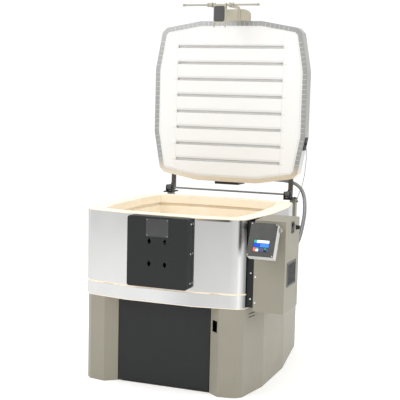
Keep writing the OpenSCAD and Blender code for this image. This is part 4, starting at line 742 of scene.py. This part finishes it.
def make_grille():
    """Fan grille: sheet with six-sided holes behind a plain rim."""
    lo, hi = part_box("vent_grille")
    x1, cy, cz = hi.x / MM, (lo.y + hi.y) / 2 / MM, (lo.z + hi.z) / 2 / MM
    wide, tall = (hi.y - lo.y) / MM, (hi.z - lo.z) / MM
    x0 = lo.x / MM
    bm = bmesh.new()
    pitch = 7.4
    outer = pitch / math.sqrt(3)
    margin, row_share = 14, 0.866
    cols, rows = int((wide - margin) / pitch), int((tall - margin) / (pitch * row_share))
    for j in range(rows):
        for i in range(cols - j % 2):
            y = cy + (i - (cols - 1) / 2 + (j % 2) / 2) * pitch
            z = cz + (j - (rows - 1) / 2) * pitch * row_share
            loops = []
            for r, x in ((outer * 1.01, x1 - 0.7), (outer * 0.80, x1 - 0.7), (outer * 0.80, x0 + 0.2)):
                turns = [math.tau * k / 6 for k in range(6)]
                loops.append([bm.verts.new((x, y + r * math.sin(a), z + r * math.cos(a))) for a in turns])
            for a, b in zip(loops, loops[1:]):
                for k in range(6):
                    bm.faces.new((a[k], b[k], b[(k + 1) % 6], a[(k + 1) % 6]))
    hw, hh, rim = wide / 2, tall / 2, 9
    for y0, y1, z0, z1 in ((-hw, hw, hh - rim, hh), (-hw, hw, -hh, rim - hh),
                           (-hw, rim - hw, rim - hh, hh - rim), (hw - rim, hw, rim - hh, hh - rim)):
        block(bm, (x0, cy + y0, cz + z0), (x1, cy + y1, cz + z1))
    bmesh.ops.recalc_face_normals(bm, faces=bm.faces)
    piece("fan_grille", bm, "grille_black", "kiln", ("vent_grille",))


make_coils()
make_conduit()
make_stay()
make_screen()
make_screws()
make_grille()


# ---------------------------------------------------------------- light and floor
def area(name, at, target, size, power):
    data = bpy.data.lights.new(name, "AREA")
    data.shape = "RECTANGLE"
    data.size, data.size_y = size
    data.energy = power
    lamp = bpy.data.objects.new(name, data)
    lamp.location = at
    lamp.rotation_euler = (Vector(target) - Vector(at)).to_track_quat("-Z", "Y").to_euler()
    bpy.context.scene.collection.objects.link(lamp)


def make_studio():
    world = bpy.data.worlds.new("studio")
    bpy.context.scene.world = world
    world.use_nodes = True
    tree = world.node_tree
    sky = tree.nodes["Background"]
    # What the steel mirrors: a pale room that is darker below the horizon
    place = tree.nodes.new("ShaderNodeTexCoord").outputs["Generated"]
    split = tree.nodes.new("ShaderNodeSeparateXYZ")
    tree.links.new(place, split.inputs[0])
    ramp = tree.nodes.new("ShaderNodeValToRGB")
    stops = ((0.0, 0.62), (0.46, 0.60), (0.50, 0.70), (0.56, 0.86), (0.75, 0.95), (1.0, 1.0))
    while len(ramp.color_ramp.elements) < len(stops):
        ramp.color_ramp.elements.new(0.5)
    for item, (at, v) in zip(ramp.color_ramp.elements, stops):
        item.position, item.color = at, (v, v, v * 0.985, 1)
    span = tree.nodes.new("ShaderNodeMapRange")
    span.inputs[1].default_value = -1
    tree.links.new(split.outputs[2], span.inputs[0])
    tree.links.new(span.outputs[0], ramp.inputs[0])
    tree.links.new(ramp.outputs[0], sky.inputs[0])
    sky.inputs[1].default_value = 0.85
    backdrop = tree.nodes.new("ShaderNodeBackground")
    backdrop.inputs[0].default_value = (1, 1, 1, 1)
    backdrop.inputs[1].default_value = 1.05
    path = tree.nodes.new("ShaderNodeLightPath")
    mix = tree.nodes.new("ShaderNodeMixShader")
    tree.links.new(path.outputs["Is Camera Ray"], mix.inputs[0])
    tree.links.new(sky.outputs[0], mix.inputs[1])
    tree.links.new(backdrop.outputs[0], mix.inputs[2])
    tree.links.new(mix.outputs[0], tree.nodes["World Output"].inputs[0])
    area("key", (-2.6, -3.4, 3.6), (0, 0, 0.9), (2.6, 2.6), 75)
    area("fill", (4.0, -1.5, 2.2), (0, 0, 0.8), (2.4, 2.4), 48)
    area("top", (0, 0.2, 4.2), (0, 0, 0.8), (2.4, 2.4), 45)
    floor = bpy.data.meshes.new("floor")
    size = 14
    corners = [(-size, -size, 0), (size, -size, 0), (size, size, 0), (-size, size, 0)]
    floor.from_pydata(corners, [], [(0, 1, 2, 3)])
    ground = bpy.data.objects.new("floor", floor)
    bpy.context.scene.collection.objects.link(ground)
    s = Shader("floor", rough=0.9)
    s.colour(s.mix(s.ramp(s.noise(0.8, 2.0), SOFT), (0.90, 0.90, 0.90), (0.92, 0.92, 0.92)))
    s.lit((1, 1, 1), 0.3)
    ground.data.materials.append(s.mat)
    ground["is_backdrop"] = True


make_studio()

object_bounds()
